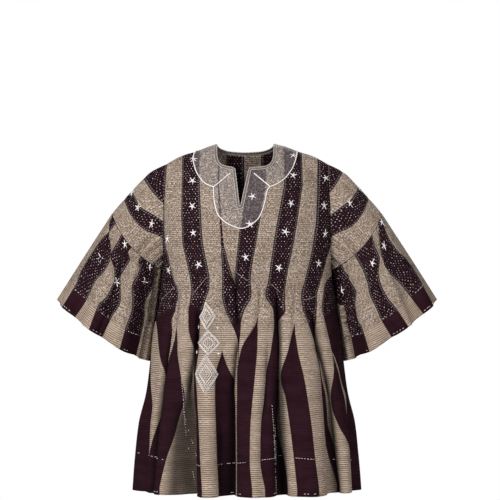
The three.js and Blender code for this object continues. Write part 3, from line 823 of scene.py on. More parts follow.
def hand_weave_group() -> bpy.types.NodeTree:
    """Returns the group of the ribbed hand weave.

    Place is across and along the strip in metres. Rib is 1 on the sunk weft lines, Height is
    the relief from 0 to 1, and Slub is the slow change of yarn thickness and colour.
    """
    group, w, inside, out = new_group(
        "Hand weave", (("Place", VECTOR), ("Pitch", VALUE)),
        (("Rib", VALUE), ("Height", VALUE), ("Slub", VALUE))
    )
    place = inside.outputs["Place"]
    across, along, _ = w.parts(place)
    waver = w.noise(w.place(w.sum("MULTIPLY", across, 0.5), along, 0.0), 90.0, 3.0)
    shifted = w.sum("ADD", along, w.sum("MULTIPLY", w.sum("SUBTRACT", waver, 0.5), 0.0034))
    phase = w.sum("FRACT", w.sum("DIVIDE", shifted, inside.outputs["Pitch"]))
    valley = w.sum("ABSOLUTE", w.sum("SUBTRACT", w.sum("MULTIPLY", phase, 2.0), 1.0))
    patchy = w.noise(w.place(across, w.sum("MULTIPLY", along, 2.2), 3.0), 130.0, 2.0)
    rib = w.sum("MULTIPLY", w.step(valley, 0.34, 0.92), w.step(patchy, 0.18, 0.5))
    yarn = w.sum("SINE", w.sum("MULTIPLY", across, YARN_RUN))
    grain = w.sum("MULTIPLY", w.sum("ADD", yarn, 1.0), 0.11)
    height = w.sum("ADD", w.sum("MULTIPLY", w.sum("SUBTRACT", 1.0, rib), 0.78), grain)
    slub = w.noise(w.place(w.sum("MULTIPLY", across, 0.35), along, 7.0), 46.0, 4.0)
    w.feed(out.inputs["Rib"], rib)
    w.feed(out.inputs["Height"], height)
    w.feed(out.inputs["Slub"], slub)
    return group


def running_stitch_group() -> bpy.types.NodeTree:
    """Returns the group of the fine running stitch.

    Stitches lie in staggered rows over the strip, and in a closer row along each edge of it.
    Mask is 1 on the thread.
    """
    group, w, inside, out = new_group(
        "Running stitch",
        (("Place", VECTOR), ("To seam", VALUE), ("Row", VALUE), ("Pitch", VALUE), ("Size", VALUE)),
        (("Mask", VALUE),)
    )
    across, along, _ = w.parts(inside.outputs["Place"])
    drift = w.noise(inside.outputs["Place"], 55.0, 1.0)
    slid = w.sum("ADD", along, w.sum("MULTIPLY", w.sum("SUBTRACT", drift, 0.5), 0.006))
    rank = w.sum("DIVIDE", slid, inside.outputs["Pitch"])
    stagger = w.sum("MULTIPLY", w.sum("MODULO", w.sum("FLOOR", rank), 2.0), 0.5)
    file = w.sum("ADD", w.sum("DIVIDE", across, inside.outputs["Row"]), stagger)
    off_x = w.sum("SUBTRACT", w.sum("FRACT", file), 0.5)
    off_y = w.sum("SUBTRACT", w.sum("FRACT", rank), 0.5)
    chance = w.add("ShaderNodeTexWhiteNoise", noise_dimensions="2D")
    w.feed(chance.inputs["Vector"], w.place(w.sum("FLOOR", file), w.sum("FLOOR", rank), 0.0))
    reach_x = w.sum("MULTIPLY", off_x, w.sum("MULTIPLY", inside.outputs["Row"], 1.25))
    reach_y = w.sum("MULTIPLY", off_y, w.sum("MULTIPLY", inside.outputs["Pitch"], 0.8))
    far = w.sum(
        "SQRT", w.sum("ADD", w.sum("MULTIPLY", reach_x, reach_x), w.sum("MULTIPLY", reach_y, reach_y))
    )
    size = w.sum("MULTIPLY", inside.outputs["Size"], w.sum("ADD", chance.outputs["Value"], 0.35))
    dot = w.sum("SUBTRACT", 1.0, w.sum("DIVIDE", far, size), held=True)
    bright = w.sum("ADD", w.sum("MULTIPLY", chance.outputs["Value"], 0.6), 0.4)
    field_mask = w.sum("MULTIPLY", w.step(dot, 0.05, 0.4), bright)
    edge_off = w.sum("ABSOLUTE", w.sum("SUBTRACT", inside.outputs["To seam"], 0.0026))
    edge_row = w.sum("SUBTRACT", 1.0, w.step(edge_off, 0.0006, 0.0014))
    edge_phase = w.sum("FRACT", w.sum("DIVIDE", slid, 0.0052))
    edge_mask = w.sum("MULTIPLY", edge_row, w.sum("MULTIPLY", w.step(edge_phase, 0.5, 0.65), 0.28))
    clear = w.step(inside.outputs["To seam"], 0.0042, 0.0056)
    w.feed(out.inputs["Mask"], w.sum("MAXIMUM", w.sum("MULTIPLY", field_mask, clear), edge_mask))
    return group


def vermicelli_group() -> bpy.types.NodeTree:
    """Returns the group of dense wandering stitch lines; Mask is 1 on the thread."""
    group, w, inside, out = new_group(
        "Wandering stitch", (("Place", VECTOR), ("Scale", VALUE)), (("Mask", VALUE), ("Height", VALUE))
    )
    warp = w.add("ShaderNodeTexNoise")
    w.feed(warp.inputs["Vector"], inside.outputs["Place"])
    warp.inputs["Scale"].default_value = 150.0
    shift = w.add("ShaderNodeVectorMath", operation="MULTIPLY_ADD")
    w.feed(shift.inputs[0], warp.outputs["Color"])
    shift.inputs[1].default_value = (0.006, 0.006, 0.006)
    w.feed(shift.inputs[2], inside.outputs["Place"])
    cells = w.add("ShaderNodeTexVoronoi", feature="DISTANCE_TO_EDGE")
    w.feed(cells.inputs["Vector"], shift.outputs[0])
    w.feed(cells.inputs["Scale"], inside.outputs["Scale"])
    line = w.sum("SUBTRACT", 1.0, w.step(cells.outputs["Distance"], 0.08, 0.2))
    broken = w.step(w.noise(inside.outputs["Place"], 620.0, 1.0), 0.36, 0.5)
    w.feed(out.inputs["Mask"], w.sum("MULTIPLY", line, broken))
    w.feed(out.inputs["Height"], line)
    return group


def new_material(
    name: str, colour: Colour | None = None
) -> tuple[bpy.types.Material, Wiring, bpy.types.Node]:
    """Makes a material with nodes.

    Args:
        name: The material's name.
        colour: Its plain colour where no nodes are shown.

    Returns:
        The material, its wiring and its surface shader.
    """
    material = bpy.data.materials.new(name)
    material.use_nodes = True
    if colour:
        material.diffuse_color = colour
    tree = material.node_tree
    return material, Wiring(tree), tree.nodes["Principled BSDF"]


@dataclass(frozen=True)
class ClothFinish:
    """Finish of a woven strip: ground and line colours, weave, running stitch, and the painted shade of
    deep folds.
    """

    name: str
    ground: Colour
    shade: Colour
    line: Colour
    line_share: float
    rib_pitch: float
    relief: float
    stitch_row: float
    stitch_pitch: float
    stitch_size: float
    stitch_share: float
    sheen: float
    gloss: float
    # Fold is the colour of the painted shade in deep folds and of the dark seam lines; its share is how
    # strongly that shade is painted
    fold: Colour
    fold_shade_share: float

    def material(self, groups: dict[str, bpy.types.NodeTree]) -> bpy.types.Material:
        """Makes the cloth's material.

        Args:
            groups: The shared shader groups by name.

        Returns:
            The material.
        """
        material, w, shader = new_material(self.name, self.ground)
        place = w.add("ShaderNodeUVMap", uv_map="strip").outputs["UV"]
        weave = w.add("ShaderNodeGroup", node_tree=groups["weave"])
        w.feed(weave.inputs["Place"], place)
        weave.inputs["Pitch"].default_value = self.rib_pitch
        ground = w.blend(w.step(weave.outputs["Slub"], 0.3, 0.7), self.ground, self.shade)
        stitched = w.step(w.attribute("stitched").outputs["Fac"], 0.0, 1.0)
        drawn = w.sum("SUBTRACT", 1.0, w.sum("MULTIPLY", stitched, 0.3))
        lines = w.sum("MULTIPLY", w.sum("MULTIPLY", weave.outputs["Rib"], drawn), self.line_share)
        speck = w.noise(place, 210.0, 3.0)
        pitted = w.sum("SUBTRACT", 1.0, w.step(speck, 0.4, 0.6))
        pits = w.sum("MULTIPLY", w.sum("MULTIPLY", pitted, stitched), 0.72)
        ribbed = w.blend(w.sum("MAXIMUM", lines, pits), ground, self.line)
        stitch = w.add("ShaderNodeGroup", node_tree=groups["stitch"])
        w.feed(stitch.inputs["Place"], place)
        w.feed(stitch.inputs["To seam"], w.attribute("to_seam").outputs["Fac"])
        stitch.inputs["Row"].default_value = self.stitch_row
        stitch.inputs["Pitch"].default_value = self.stitch_pitch
        stitch.inputs["Size"].default_value = self.stitch_size
        thread = w.sum("MULTIPLY", w.sum("MULTIPLY", stitch.outputs["Mask"], stitched), self.stitch_share)
        sewn = w.blend(thread, ribbed, THREAD_COLOUR)
        # Dark line right along each seam, in the fold colour
        by_seam = w.sum("SUBTRACT", 1.0, w.step(w.attribute("to_seam").outputs["Fac"], 0.0004, 0.0015))
        sewn = w.blend(w.sum("MULTIPLY", by_seam, 0.8), sewn, self.fold)
        # Painted shade: the cloth turns towards the fold colour where it lies deep in a crease
        painted_fold_shade = w.sum("MULTIPLY", w.step(w.attribute("depth").outputs["Fac"], 0.1, 1.0), self.fold_shade_share)
        w.feed(shader.inputs["Base Color"], w.blend(painted_fold_shade, sewn, self.fold))
        relief = w.sum("ADD", weave.outputs["Height"], w.sum("MULTIPLY", thread, 0.6))
        w.feed(shader.inputs["Normal"], w.bump(relief, self.relief))
        rough = w.sum("ADD", w.sum("MULTIPLY", weave.outputs["Slub"], 0.1), 0.82)
        w.feed(shader.inputs["Roughness"], rough)
        shader.inputs["Specular IOR Level"].default_value = self.gloss
        shader.inputs["Sheen Weight"].default_value = self.sheen
        shader.inputs["Sheen Roughness"].default_value = 0.6
        return material


@dataclass(frozen=True)
class ThreadFinish:
    """Finish of twisted thread and cord."""

    name: str
    colour: Colour
    shade: Colour

    def material(self) -> bpy.types.Material:
        """Returns the thread's material."""
        material, w, shader = new_material(self.name, self.colour)
        place = w.add("ShaderNodeTexCoord").outputs["Object"]
        x, y, z = w.parts(place)
        twist = w.sum("SINE", w.sum("MULTIPLY", w.sum("ADD", w.sum("ADD", x, y), z), YARN_RUN))
        soft = w.noise(place, 420.0, 2.0)
        w.feed(shader.inputs["Base Color"], w.blend(w.step(soft, 0.35, 0.7), self.colour, self.shade))
        w.feed(shader.inputs["Normal"], w.bump(twist, 0.00012))
        w.feed(shader.inputs["Roughness"], w.sum("ADD", w.sum("MULTIPLY", soft, 0.2), 0.6))
        shader.inputs["Sheen Weight"].default_value = 0.15
        return material


THREAD_COLOUR = from_screen(226, 219, 216)
# The fold colours are painted shade for deep folds, and they also colour the dark seam lines
TAN_CLOTH = ClothFinish(
    name="tan_strip", ground=from_screen(178, 159, 143), shade=from_screen(158, 139, 122),
    line=from_screen(72, 57, 46), line_share=0.9, rib_pitch=0.0046, relief=0.0013, stitch_row=0.0062,
    stitch_pitch=0.0048, stitch_size=0.0012, stitch_share=0.7, sheen=0.02, gloss=0.12,
    fold=from_screen(40, 31, 27), fold_shade_share=0.85
)
DARK_CLOTH = ClothFinish(
    name="dark_strip", ground=from_screen(45, 22, 29), shade=from_screen(36, 16, 23),
    line=from_screen(18, 8, 12), line_share=0.55, rib_pitch=0.0042, relief=0.0009, stitch_row=0.0072,
    stitch_pitch=0.0056, stitch_size=0.00092, stitch_share=0.85, sheen=0.0, gloss=0.04,
    fold=from_screen(14, 7, 10), fold_shade_share=0.9
)
WHITE_THREAD = ThreadFinish("white_thread", from_screen(238, 233, 230), from_screen(206, 199, 196))
GREY_CORD = ThreadFinish("grey_cord", from_screen(186, 178, 170), from_screen(146, 137, 130))
BAND_THREAD = ThreadFinish("neck_band", from_screen(108, 97, 92), from_screen(76, 65, 62))


def seat(piece: bpy.types.Object, replaced: Sequence[str] = ()) -> bpy.types.Object:
    """Puts a finished piece on the part's body.

    Args:
        piece: The piece, in place.
        replaced: CAD nodes that it stands for.

    Returns:
        The piece.
    """
    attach(piece, BODY)
    if replaced:
        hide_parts(*replaced)
    LOG.info("%s: %d faces", piece.name, len(piece.data.polygons))
    return piece


def object_from(bm: bmesh.types.BMesh, name: str) -> bpy.types.Object:
    """Returns a new smooth-shaded object made of a bmesh, which is freed."""
    for face in bm.faces:
        face.smooth = True
    mesh = bpy.data.meshes.new(name)
    bm.to_mesh(mesh)
    bm.free()
    piece = bpy.data.objects.new(name, mesh)
    bpy.context.scene.collection.objects.link(piece)
    return piece


def grid_places(
    verts: Iterable[bmesh.types.BMVert], last_i: int, last_j: int
) -> list[tuple[bmesh.types.BMVert, int, int]]:
    """Returns the points of a square grid, each with its column and its row."""
    known = list(verts)
    half = max(vert.co.x for vert in known)
    return [
        (vert, round((vert.co.x / half + 1) / 2 * last_i), round((vert.co.y / half + 1) / 2 * last_j))
        for vert in known
    ]


WIDE_STRIP = (0.0, 0.035, 0.1, 0.2, 0.33, 0.46, 0.6, 0.73, 0.85, 0.93, 0.97)
MIDDLE_STRIP = (0.0, 0.07, 0.2, 0.4, 0.6, 0.8, 0.93)
NARROW_STRIP = (0.0, 0.25, 0.5, 0.75)


def shares_for(width: float) -> tuple[float, ...]:
    """Returns where the columns of a strip lie across it, by its greatest width."""
    if width > 34:
        return WIDE_STRIP
    return MIDDLE_STRIP if width > 16 else NARROW_STRIP


SWELL = 0.9
SWELL_WIDTH = 22.0
SWELL_POWER = 4.0
PLEAT_WIDTH = 30.0
PLEAT_POWER = 2.2


def crown(width: float) -> float:
    """Returns how far the middle of a strip swells out, in millimetres."""
    return SWELL * clamp(width / SWELL_WIDTH)


def puff(share: float, width: float) -> float:
    """Returns how far a strip swells between its two seams, in millimetres."""
    return crown(width) * (1 - abs(2 * share - 1) ** SWELL_POWER)


@dataclass
class SeamLine:
    """Heights of the strips along one line across the cloth, and of the seams between them.

    Where a strip has no width left, its two neighbours are one piece of cloth: the seam
    between them fades out and the height runs on over it.
    """

    widths: Sequence[float]
    crowns: Sequence[float]
    narrow: float = 9.0
    gone: float = 0.3
    away: float = 30.0

    def __post_init__(self) -> None:
        """Works out the height of each edge, and how sharp its seam is."""
        count = len(self.widths)
        self.edges = [0.0] * (count + 1)
        self.sharp = [1.0] * (count + 1)
        self.tops = list(self.crowns)
        for edge in range(1, count):
            left, right = self.beside(edge)
            if left < 0 or right >= count:
                continue
            if (right - left) % 2 == 0:
                self.sharp[edge] = 0.0
                self.edges[edge] = (self.crowns[left] + self.crowns[right]) / 2
                continue
            thin, far = (left, left - 1) if self.widths[left] < self.widths[right] else (right, right + 1)
            if self.widths[thin] < self.narrow and 0 <= far < count:
                shown = ease(self.widths[thin], self.gone, self.narrow)
                run_on = self.crowns[left + right - thin]
                self.sharp[edge] = shown
                self.edges[edge] = (1 - shown) * run_on
                self.tops[thin] = lerp(run_on, self.crowns[thin], shown)

    def beside(self, edge: int) -> tuple[int, int]:
        """Returns the nearest strips with some width on the two sides of an edge."""
        left, right = edge - 1, edge
        while left >= 0 and self.widths[left] < self.gone:
            left -= 1
        while right < len(self.widths) and self.widths[right] < self.gone:
            right += 1
        return left, right

    def height(self, k: int, share: float, power: float) -> float:
        """Returns the height at a share of the way across a strip."""
        if self.widths[k] < self.gone:
            return self.edges[k]
        near_start = max(0.0, 1 - 2 * share) ** power
        near_end = max(0.0, 2 * share - 1) ** power
        top = self.tops[k]
        return top + (self.edges[k] - top) * near_start + (self.edges[k + 1] - top) * near_end

    def to_seam(self, k: int, share: float) -> float:
        """Returns the distance to the nearest seam, which grows where the seam fades out."""
        start = share * self.widths[k] + self.away * (1 - self.sharp[k])
        end = (1 - share) * self.widths[k] + self.away * (1 - self.sharp[k + 1])
        return min(start, end)


@dataclass
class WovenSheet:
    """Cloth sewn of strips, laid out as a grid whose columns follow the strips' edges."""

    name: str
    kinds: Sequence[Stripe]
    shares: Sequence[tuple[float, ...]]
    rows: Sequence[float]
    place: Callable[[int, float, float], Vector]
    measure: Callable[[int, float, float], Point]
    to_seam: Callable[[int, float, float], float]
    stitched: Callable[[int, float, float], float]
    depth: Callable[[int, float, float], float]
    centre: Vector

    def mesh(self) -> bmesh.types.BMesh:
        """Returns the sheet as a single layer that faces outwards."""
        columns = [(k, share) for k, shares in enumerate(self.shares) for share in shares]
        columns.append((len(self.kinds) - 1, 1.0))
        last_i = len(columns) - 1
        last_j = len(self.rows) - 1
        bm = bmesh.new()
        bmesh.ops.create_grid(bm, x_segments=last_i, y_segments=last_j, size=0.5)
        to_seam = bm.verts.layers.float.new("to_seam")
        stitched = bm.verts.layers.float.new("stitched")
        # Fold depth, which the cloth materials read to paint shade in deep folds
        depth = bm.verts.layers.float.new("depth")
        uv = bm.loops.layers.uv.new("strip")
        grid: dict[int, tuple[int, int]] = {}
        bm.verts.index_update()
        for vert, i, j in grid_places(bm.verts, last_i, last_j):
            grid[vert.index] = (i, j)
            k, share = columns[i]
            row = self.rows[j]
            vert.co = self.place(k, share, row) * MM
            vert[to_seam] = self.to_seam(k, share, row) * MM
            vert[stitched] = self.stitched(k, share, row)
            vert[depth] = self.depth(k, share, row)
        for face in bm.faces:
            corners = [grid[loop.vert.index] for loop in face.loops]
            k = columns[min(i for i, _ in corners)][0]
            face.material_index = self.kinds[k].value
            for loop, (i, j) in zip(face.loops, corners):
                share = columns[i][1] if columns[i][0] == k else 1.0
                across, along = self.measure(k, share, self.rows[j])
                loop[uv].uv = (across * MM + self.kinds[k].value * STRIP_SHIFT, along * MM)
        bmesh.ops.remove_doubles(bm, verts=bm.verts, dist=0.00004)
        outward = sum(face.normal.dot(face.calc_center_median() - self.centre * MM) for face in bm.faces)
        if outward < 0:
            bmesh.ops.reverse_faces(bm, faces=bm.faces)
        return bm


def thicken(piece: bpy.types.Object, cloth: float = LEVELS.cloth) -> None:
    """Gives a cloth piece its thickness inwards, with closed edges."""
    wall = piece.modifiers.new("cloth", "SOLIDIFY")
    wall.thickness = cloth * MM
    wall.offset = -1.0
    wall.use_rim = True
    wall.use_even_offset = False


def straight(start: Point, end: Point, steps: int) -> list[Point]:
    """Returns evenly spaced places from one end of a straight line to the other."""
    shares = [k / steps for k in range(steps + 1)]
    return [(lerp(start[0], end[0], share), lerp(start[1], end[1], share)) for share in shares]


@dataclass
class NeckLine:
    """Outline of the neck opening with its front slit, seen from the front."""

    centre: float = -4.0
    half: float = 74.0
    front_drop: float = 64.0
    back_drop: float = 24.0
    front_power: float = 4.0
    back_power: float = 2.4
    slit_left: float = -34.0
    slit_right: float = 10.0
    foot_centre: float = -16.0
    foot_half: float = 8.0
    foot: float = -157.0

    def quarter(self, sign: int, drop: float, power: float, steps: int) -> list[Point]:
        """Returns points from the shoulder to the middle of the rounded neck line."""
        points = []
        for k in range(steps + 1):
            angle = math.radians(90 * (k / steps) ** 2)
            points.append(
                (
                    self.centre + sign * self.half * max(0.0, math.cos(angle)) ** (2 / power),
                    -drop * math.sin(angle) ** (2 / power)
                )
            )
        return points

    def rim(self, x: float) -> float:
        """Returns the height of the front neck line at a distance across."""
        share = clamp(abs(x - self.centre) / self.half)
        return -self.front_drop * (1 - share**self.front_power) ** (1 / self.front_power)

    def sections(self) -> tuple[list[Point], list[Point], list[Point]]:
        """Returns the front outline in three runs: right neck, slit, and left neck."""
        right, left = (self.quarter(sign, self.front_drop, self.front_power, 30) for sign in (-1, 1))
        right = [place for place in right if place[0] < self.slit_left - 1]
        left = [place for place in left if place[0] > self.slit_right + 1]
        top_left = (self.slit_left, self.rim(self.slit_left))
        top_right = (self.slit_right, self.rim(self.slit_right))
        foot_z = self.foot + self.foot_half
        slit = straight(top_left, (self.foot_centre - self.foot_half, foot_z), 8)
        for k in range(1, 8):
            angle = math.pi * (1 + k / 8)
            x = self.foot_centre + self.foot_half * math.cos(angle)
            slit.append((x, foot_z + self.foot_half * math.sin(angle)))
        slit += straight((self.foot_centre + self.foot_half, foot_z), top_right, 8)
        return right + [top_left], slit, [top_right] + left[::-1]

    def front(self) -> list[Point]:
        """Returns the whole front outline, from the right shoulder to the left one."""
        right, slit, left = self.sections()
        return right + slit[1:-1] + left

    def back(self) -> list[Point]:
        """Returns the back outline, from the right shoulder to the left one."""
        right = self.quarter(-1, self.back_drop, self.back_power, 16)
        left = self.quarter(1, self.back_drop, self.back_power, 16)
        return right + left[-2::-1]


NECK = NeckLine()


def inside_outline(outline: Sequence[Point], x: float, z: float) -> bool:
    """Returns whether a place lies inside an outline that is closed above the shoulders."""
    closed = [*outline, (outline[-1][0], 40.0), (outline[0][0], 40.0)]
    inside = False
    for (x0, z0), (x1, z1) in zip(closed, [*closed[1:], closed[0]]):
        if (z0 > z) != (z1 > z) and x < x0 + (z - z0) / (z1 - z0) * (x1 - x0):
            inside = not inside
    return inside


def nearest_on(outline: Sequence[Point], x: float, z: float) -> Point:
    """Returns the place of an open outline that is nearest to x and z."""
    best, found = 1e9, outline[0]
    for (x0, z0), (x1, z1) in zip(outline, outline[1:]):
        run_x, run_z = x1 - x0, z1 - z0
        share = clamp(((x - x0) * run_x + (z - z0) * run_z) / max(1e-9, run_x**2 + run_z**2))
        near = (x0 + share * run_x, z0 + share * run_z)
        far = math.hypot(x - near[0], z - near[1])
        if far < best:
            best, found = far, near
    return found


def through(points: Sequence[Point], steps: int = 6) -> list[Point]:
    """Returns a smooth line through flat points, with a number of steps between each two."""
    line: list[Point] = []
    ends = [points[0], *points, points[-1]]
    for a, b, c, d in zip(ends, ends[1:], ends[2:], ends[3:]):
        for k in range(steps):
            t = k / steps
            weights = (
                (-t + 2 * t * t - t**3) / 2, (2 - 5 * t * t + 3 * t**3) / 2,
                (t + 4 * t * t - 3 * t**3) / 2, (t**3 - t * t) / 2
            )
            line.append(tuple(sum(w * p[axis] for w, p in zip(weights, (a, b, c, d))) for axis in (0, 1)))
    return [*line, points[-1]]


def spread(points: Sequence[Point], count: int) -> list[Point]:
    """Returns a number of points at even distances along an open line."""
    far = [0.0]
    for (x0, z0), (x1, z1) in zip(points, points[1:]):
        far.append(far[-1] + math.hypot(x1 - x0, z1 - z0))
    line = []
    for k in range(count):
        goal = far[-1] * k / (count - 1)
        i = min(max(bisect_right(far, goal) - 1, 0), len(points) - 2)
        t = clamp((goal - far[i]) / max(1e-9, far[i + 1] - far[i]))
        line.append((lerp(points[i][0], points[i + 1][0], t), lerp(points[i][1], points[i + 1][1], t)))
    return line


def beside(points: Sequence[Point], off: float) -> list[Point]:
    """Returns a line that keeps a distance off another one, to the right of its run."""
    line = []
    last = len(points) - 1
    for i, (x, z) in enumerate(points):
        before, after = points[max(0, i - 1)], points[min(last, i + 1)]
        run = Vector((after[0] - before[0], after[1] - before[1])).normalized()
        line.append((x + run.y * off, z - run.x * off))
    return line


def thread_piece(
    name: str, paths: Iterable[Sequence[Vector]], radius: float, material: bpy.types.Material,
    sides: int = 0, closed: bool = False
) -> bpy.types.Object:
    """Makes threads or cords as one mesh.

    Args:
        name: The piece's name.
        paths: Centre line of each thread, in metres.
        radius: Radius of the thread, in millimetres.
        material: Its finish.
        sides: How round it is; 0 gives four sides.
        closed: Whether each path is a ring.

    Returns:
        The piece.
    """
    curve = bpy.data.curves.new(name + "_line", "CURVE")
    curve.dimensions = "3D"
    curve.bevel_depth = radius * MM
    curve.bevel_resolution = sides
    curve.use_fill_caps = True
    for path in paths:
        spline = curve.splines.new("POLY")
        spline.points.add(len(path) - 1)
        spline.use_cyclic_u = closed
        for point, place in zip(spline.points, path):
            point.co = (*place, 1.0)
    line = bpy.data.objects.new(name + "_line", curve)
    bpy.context.scene.collection.objects.link(line)
    bpy.context.view_layer.update()
    mesh = bpy.data.meshes.new_from_object(line.evaluated_get(bpy.context.evaluated_depsgraph_get()))
    bpy.data.objects.remove(line)
    mesh.name = name
    mesh.materials.clear()
    mesh.materials.append(material)
    for polygon in mesh.polygons:
        polygon.use_smooth = True
    piece = bpy.data.objects.new(name, mesh)
    bpy.context.scene.collection.objects.link(piece)
    return piece


@dataclass(frozen=True)
class Ground:
    """Patch of cloth round one place, that reads short distances in millimetres."""

    at: Callable[[float, float, float], Vector]
    centre: Point
    grain: Point

    def spot(self, across: float, down: float, lift: float) -> Vector:
        """Returns the point at a distance from the patch's centre, in metres."""
        return self.at(
            self.centre[0] + across / self.grain[0], self.centre[1] + down / self.grain[1], lift
        )


def ground_on(at: Callable[[float, float, float], Vector], surface: Surface, spot: Point) -> Ground:
    """Makes the patch of cloth round a place.

    Args:
        at: Reads the finished cloth, in metres.
        surface: The plain surface under it, in millimetres.
        spot: The place, in the surface's own measures.

    Returns:
        The patch.
    """
    a, b = spot
    step_a, step_b = surface.steps
    across = (surface.form(a + step_a, b) - surface.form(a - step_a, b)).length / (2 * step_a)
    down = (surface.form(a, b + step_b) - surface.form(a, b - step_b)).length / (2 * step_b)
    return Ground(at, spot, (across, down))


@dataclass
class StarWork:
    """Small five-armed stars of white thread, sewn by hand and so never quite alike."""

    reach: float = 10.0
    lift: float = 0.9
    base: float = 1.1

    def paths(self, ground: Ground, seed: int) -> list[list[Vector]]:
        """Finds the threads of one star.

        Args:
            ground: The cloth that it is sewn on.
            seed: Number that sets how this star differs from the others.

        Returns:
            The centre line of each thread.
        """
        chance = random.Random(seed)
        start = chance.uniform(0, 2 * math.pi)
        threads = []
        for arm in range(5):
            angle = start + arm * 2 * math.pi / 5 + chance.uniform(-0.16, 0.16)
            reach = self.reach * chance.uniform(0.82, 1.12)
            run = (math.cos(angle), math.sin(angle))
            for side in (-1, 0, 1):
                threads.append(
                    [
                        ground.spot(
                            run[0] * reach * t - side * run[1] * self.base * (1 - t),
                            run[1] * reach * t + side * run[0] * self.base * (1 - t), self.lift - 0.35 * t
                        ) for t in (0.0, 0.35, 0.7, 1.0)
                    ]
                )
        return threads


# Offsets in the weave's own measures, so that neighbouring strips don't repeat one another
STRIP_SHIFT = 3.7
FLARE_STEP = 370
CAP_TURN_RUN = 1.32
# Where the running stitch ends on the body, and over how much of it: depth below the shoulder
DARK_STITCH_END = (398, 6)
TAN_STITCH_END = (440, 70)
STITCH_WAVE = 22
STITCH_WAVE_RUN = 31.0
CUFF_STITCH_END = (0.76, 0.8)
# Depth below the shoulder over which the gathers set in and grow soft again, and their loss
GATHER_START = (296, 372)
GATHER_SOFT = (520, 700)
GATHER_LOSS = 0.55
# The waist seam draws in by this much round this height; nothing draws in by the side seams
WAIST_DENT = 3.5
WAIST_DENT_Z = -342
WAIST_DENT_HALF = 26
SIDE_FADE = (168, 200)


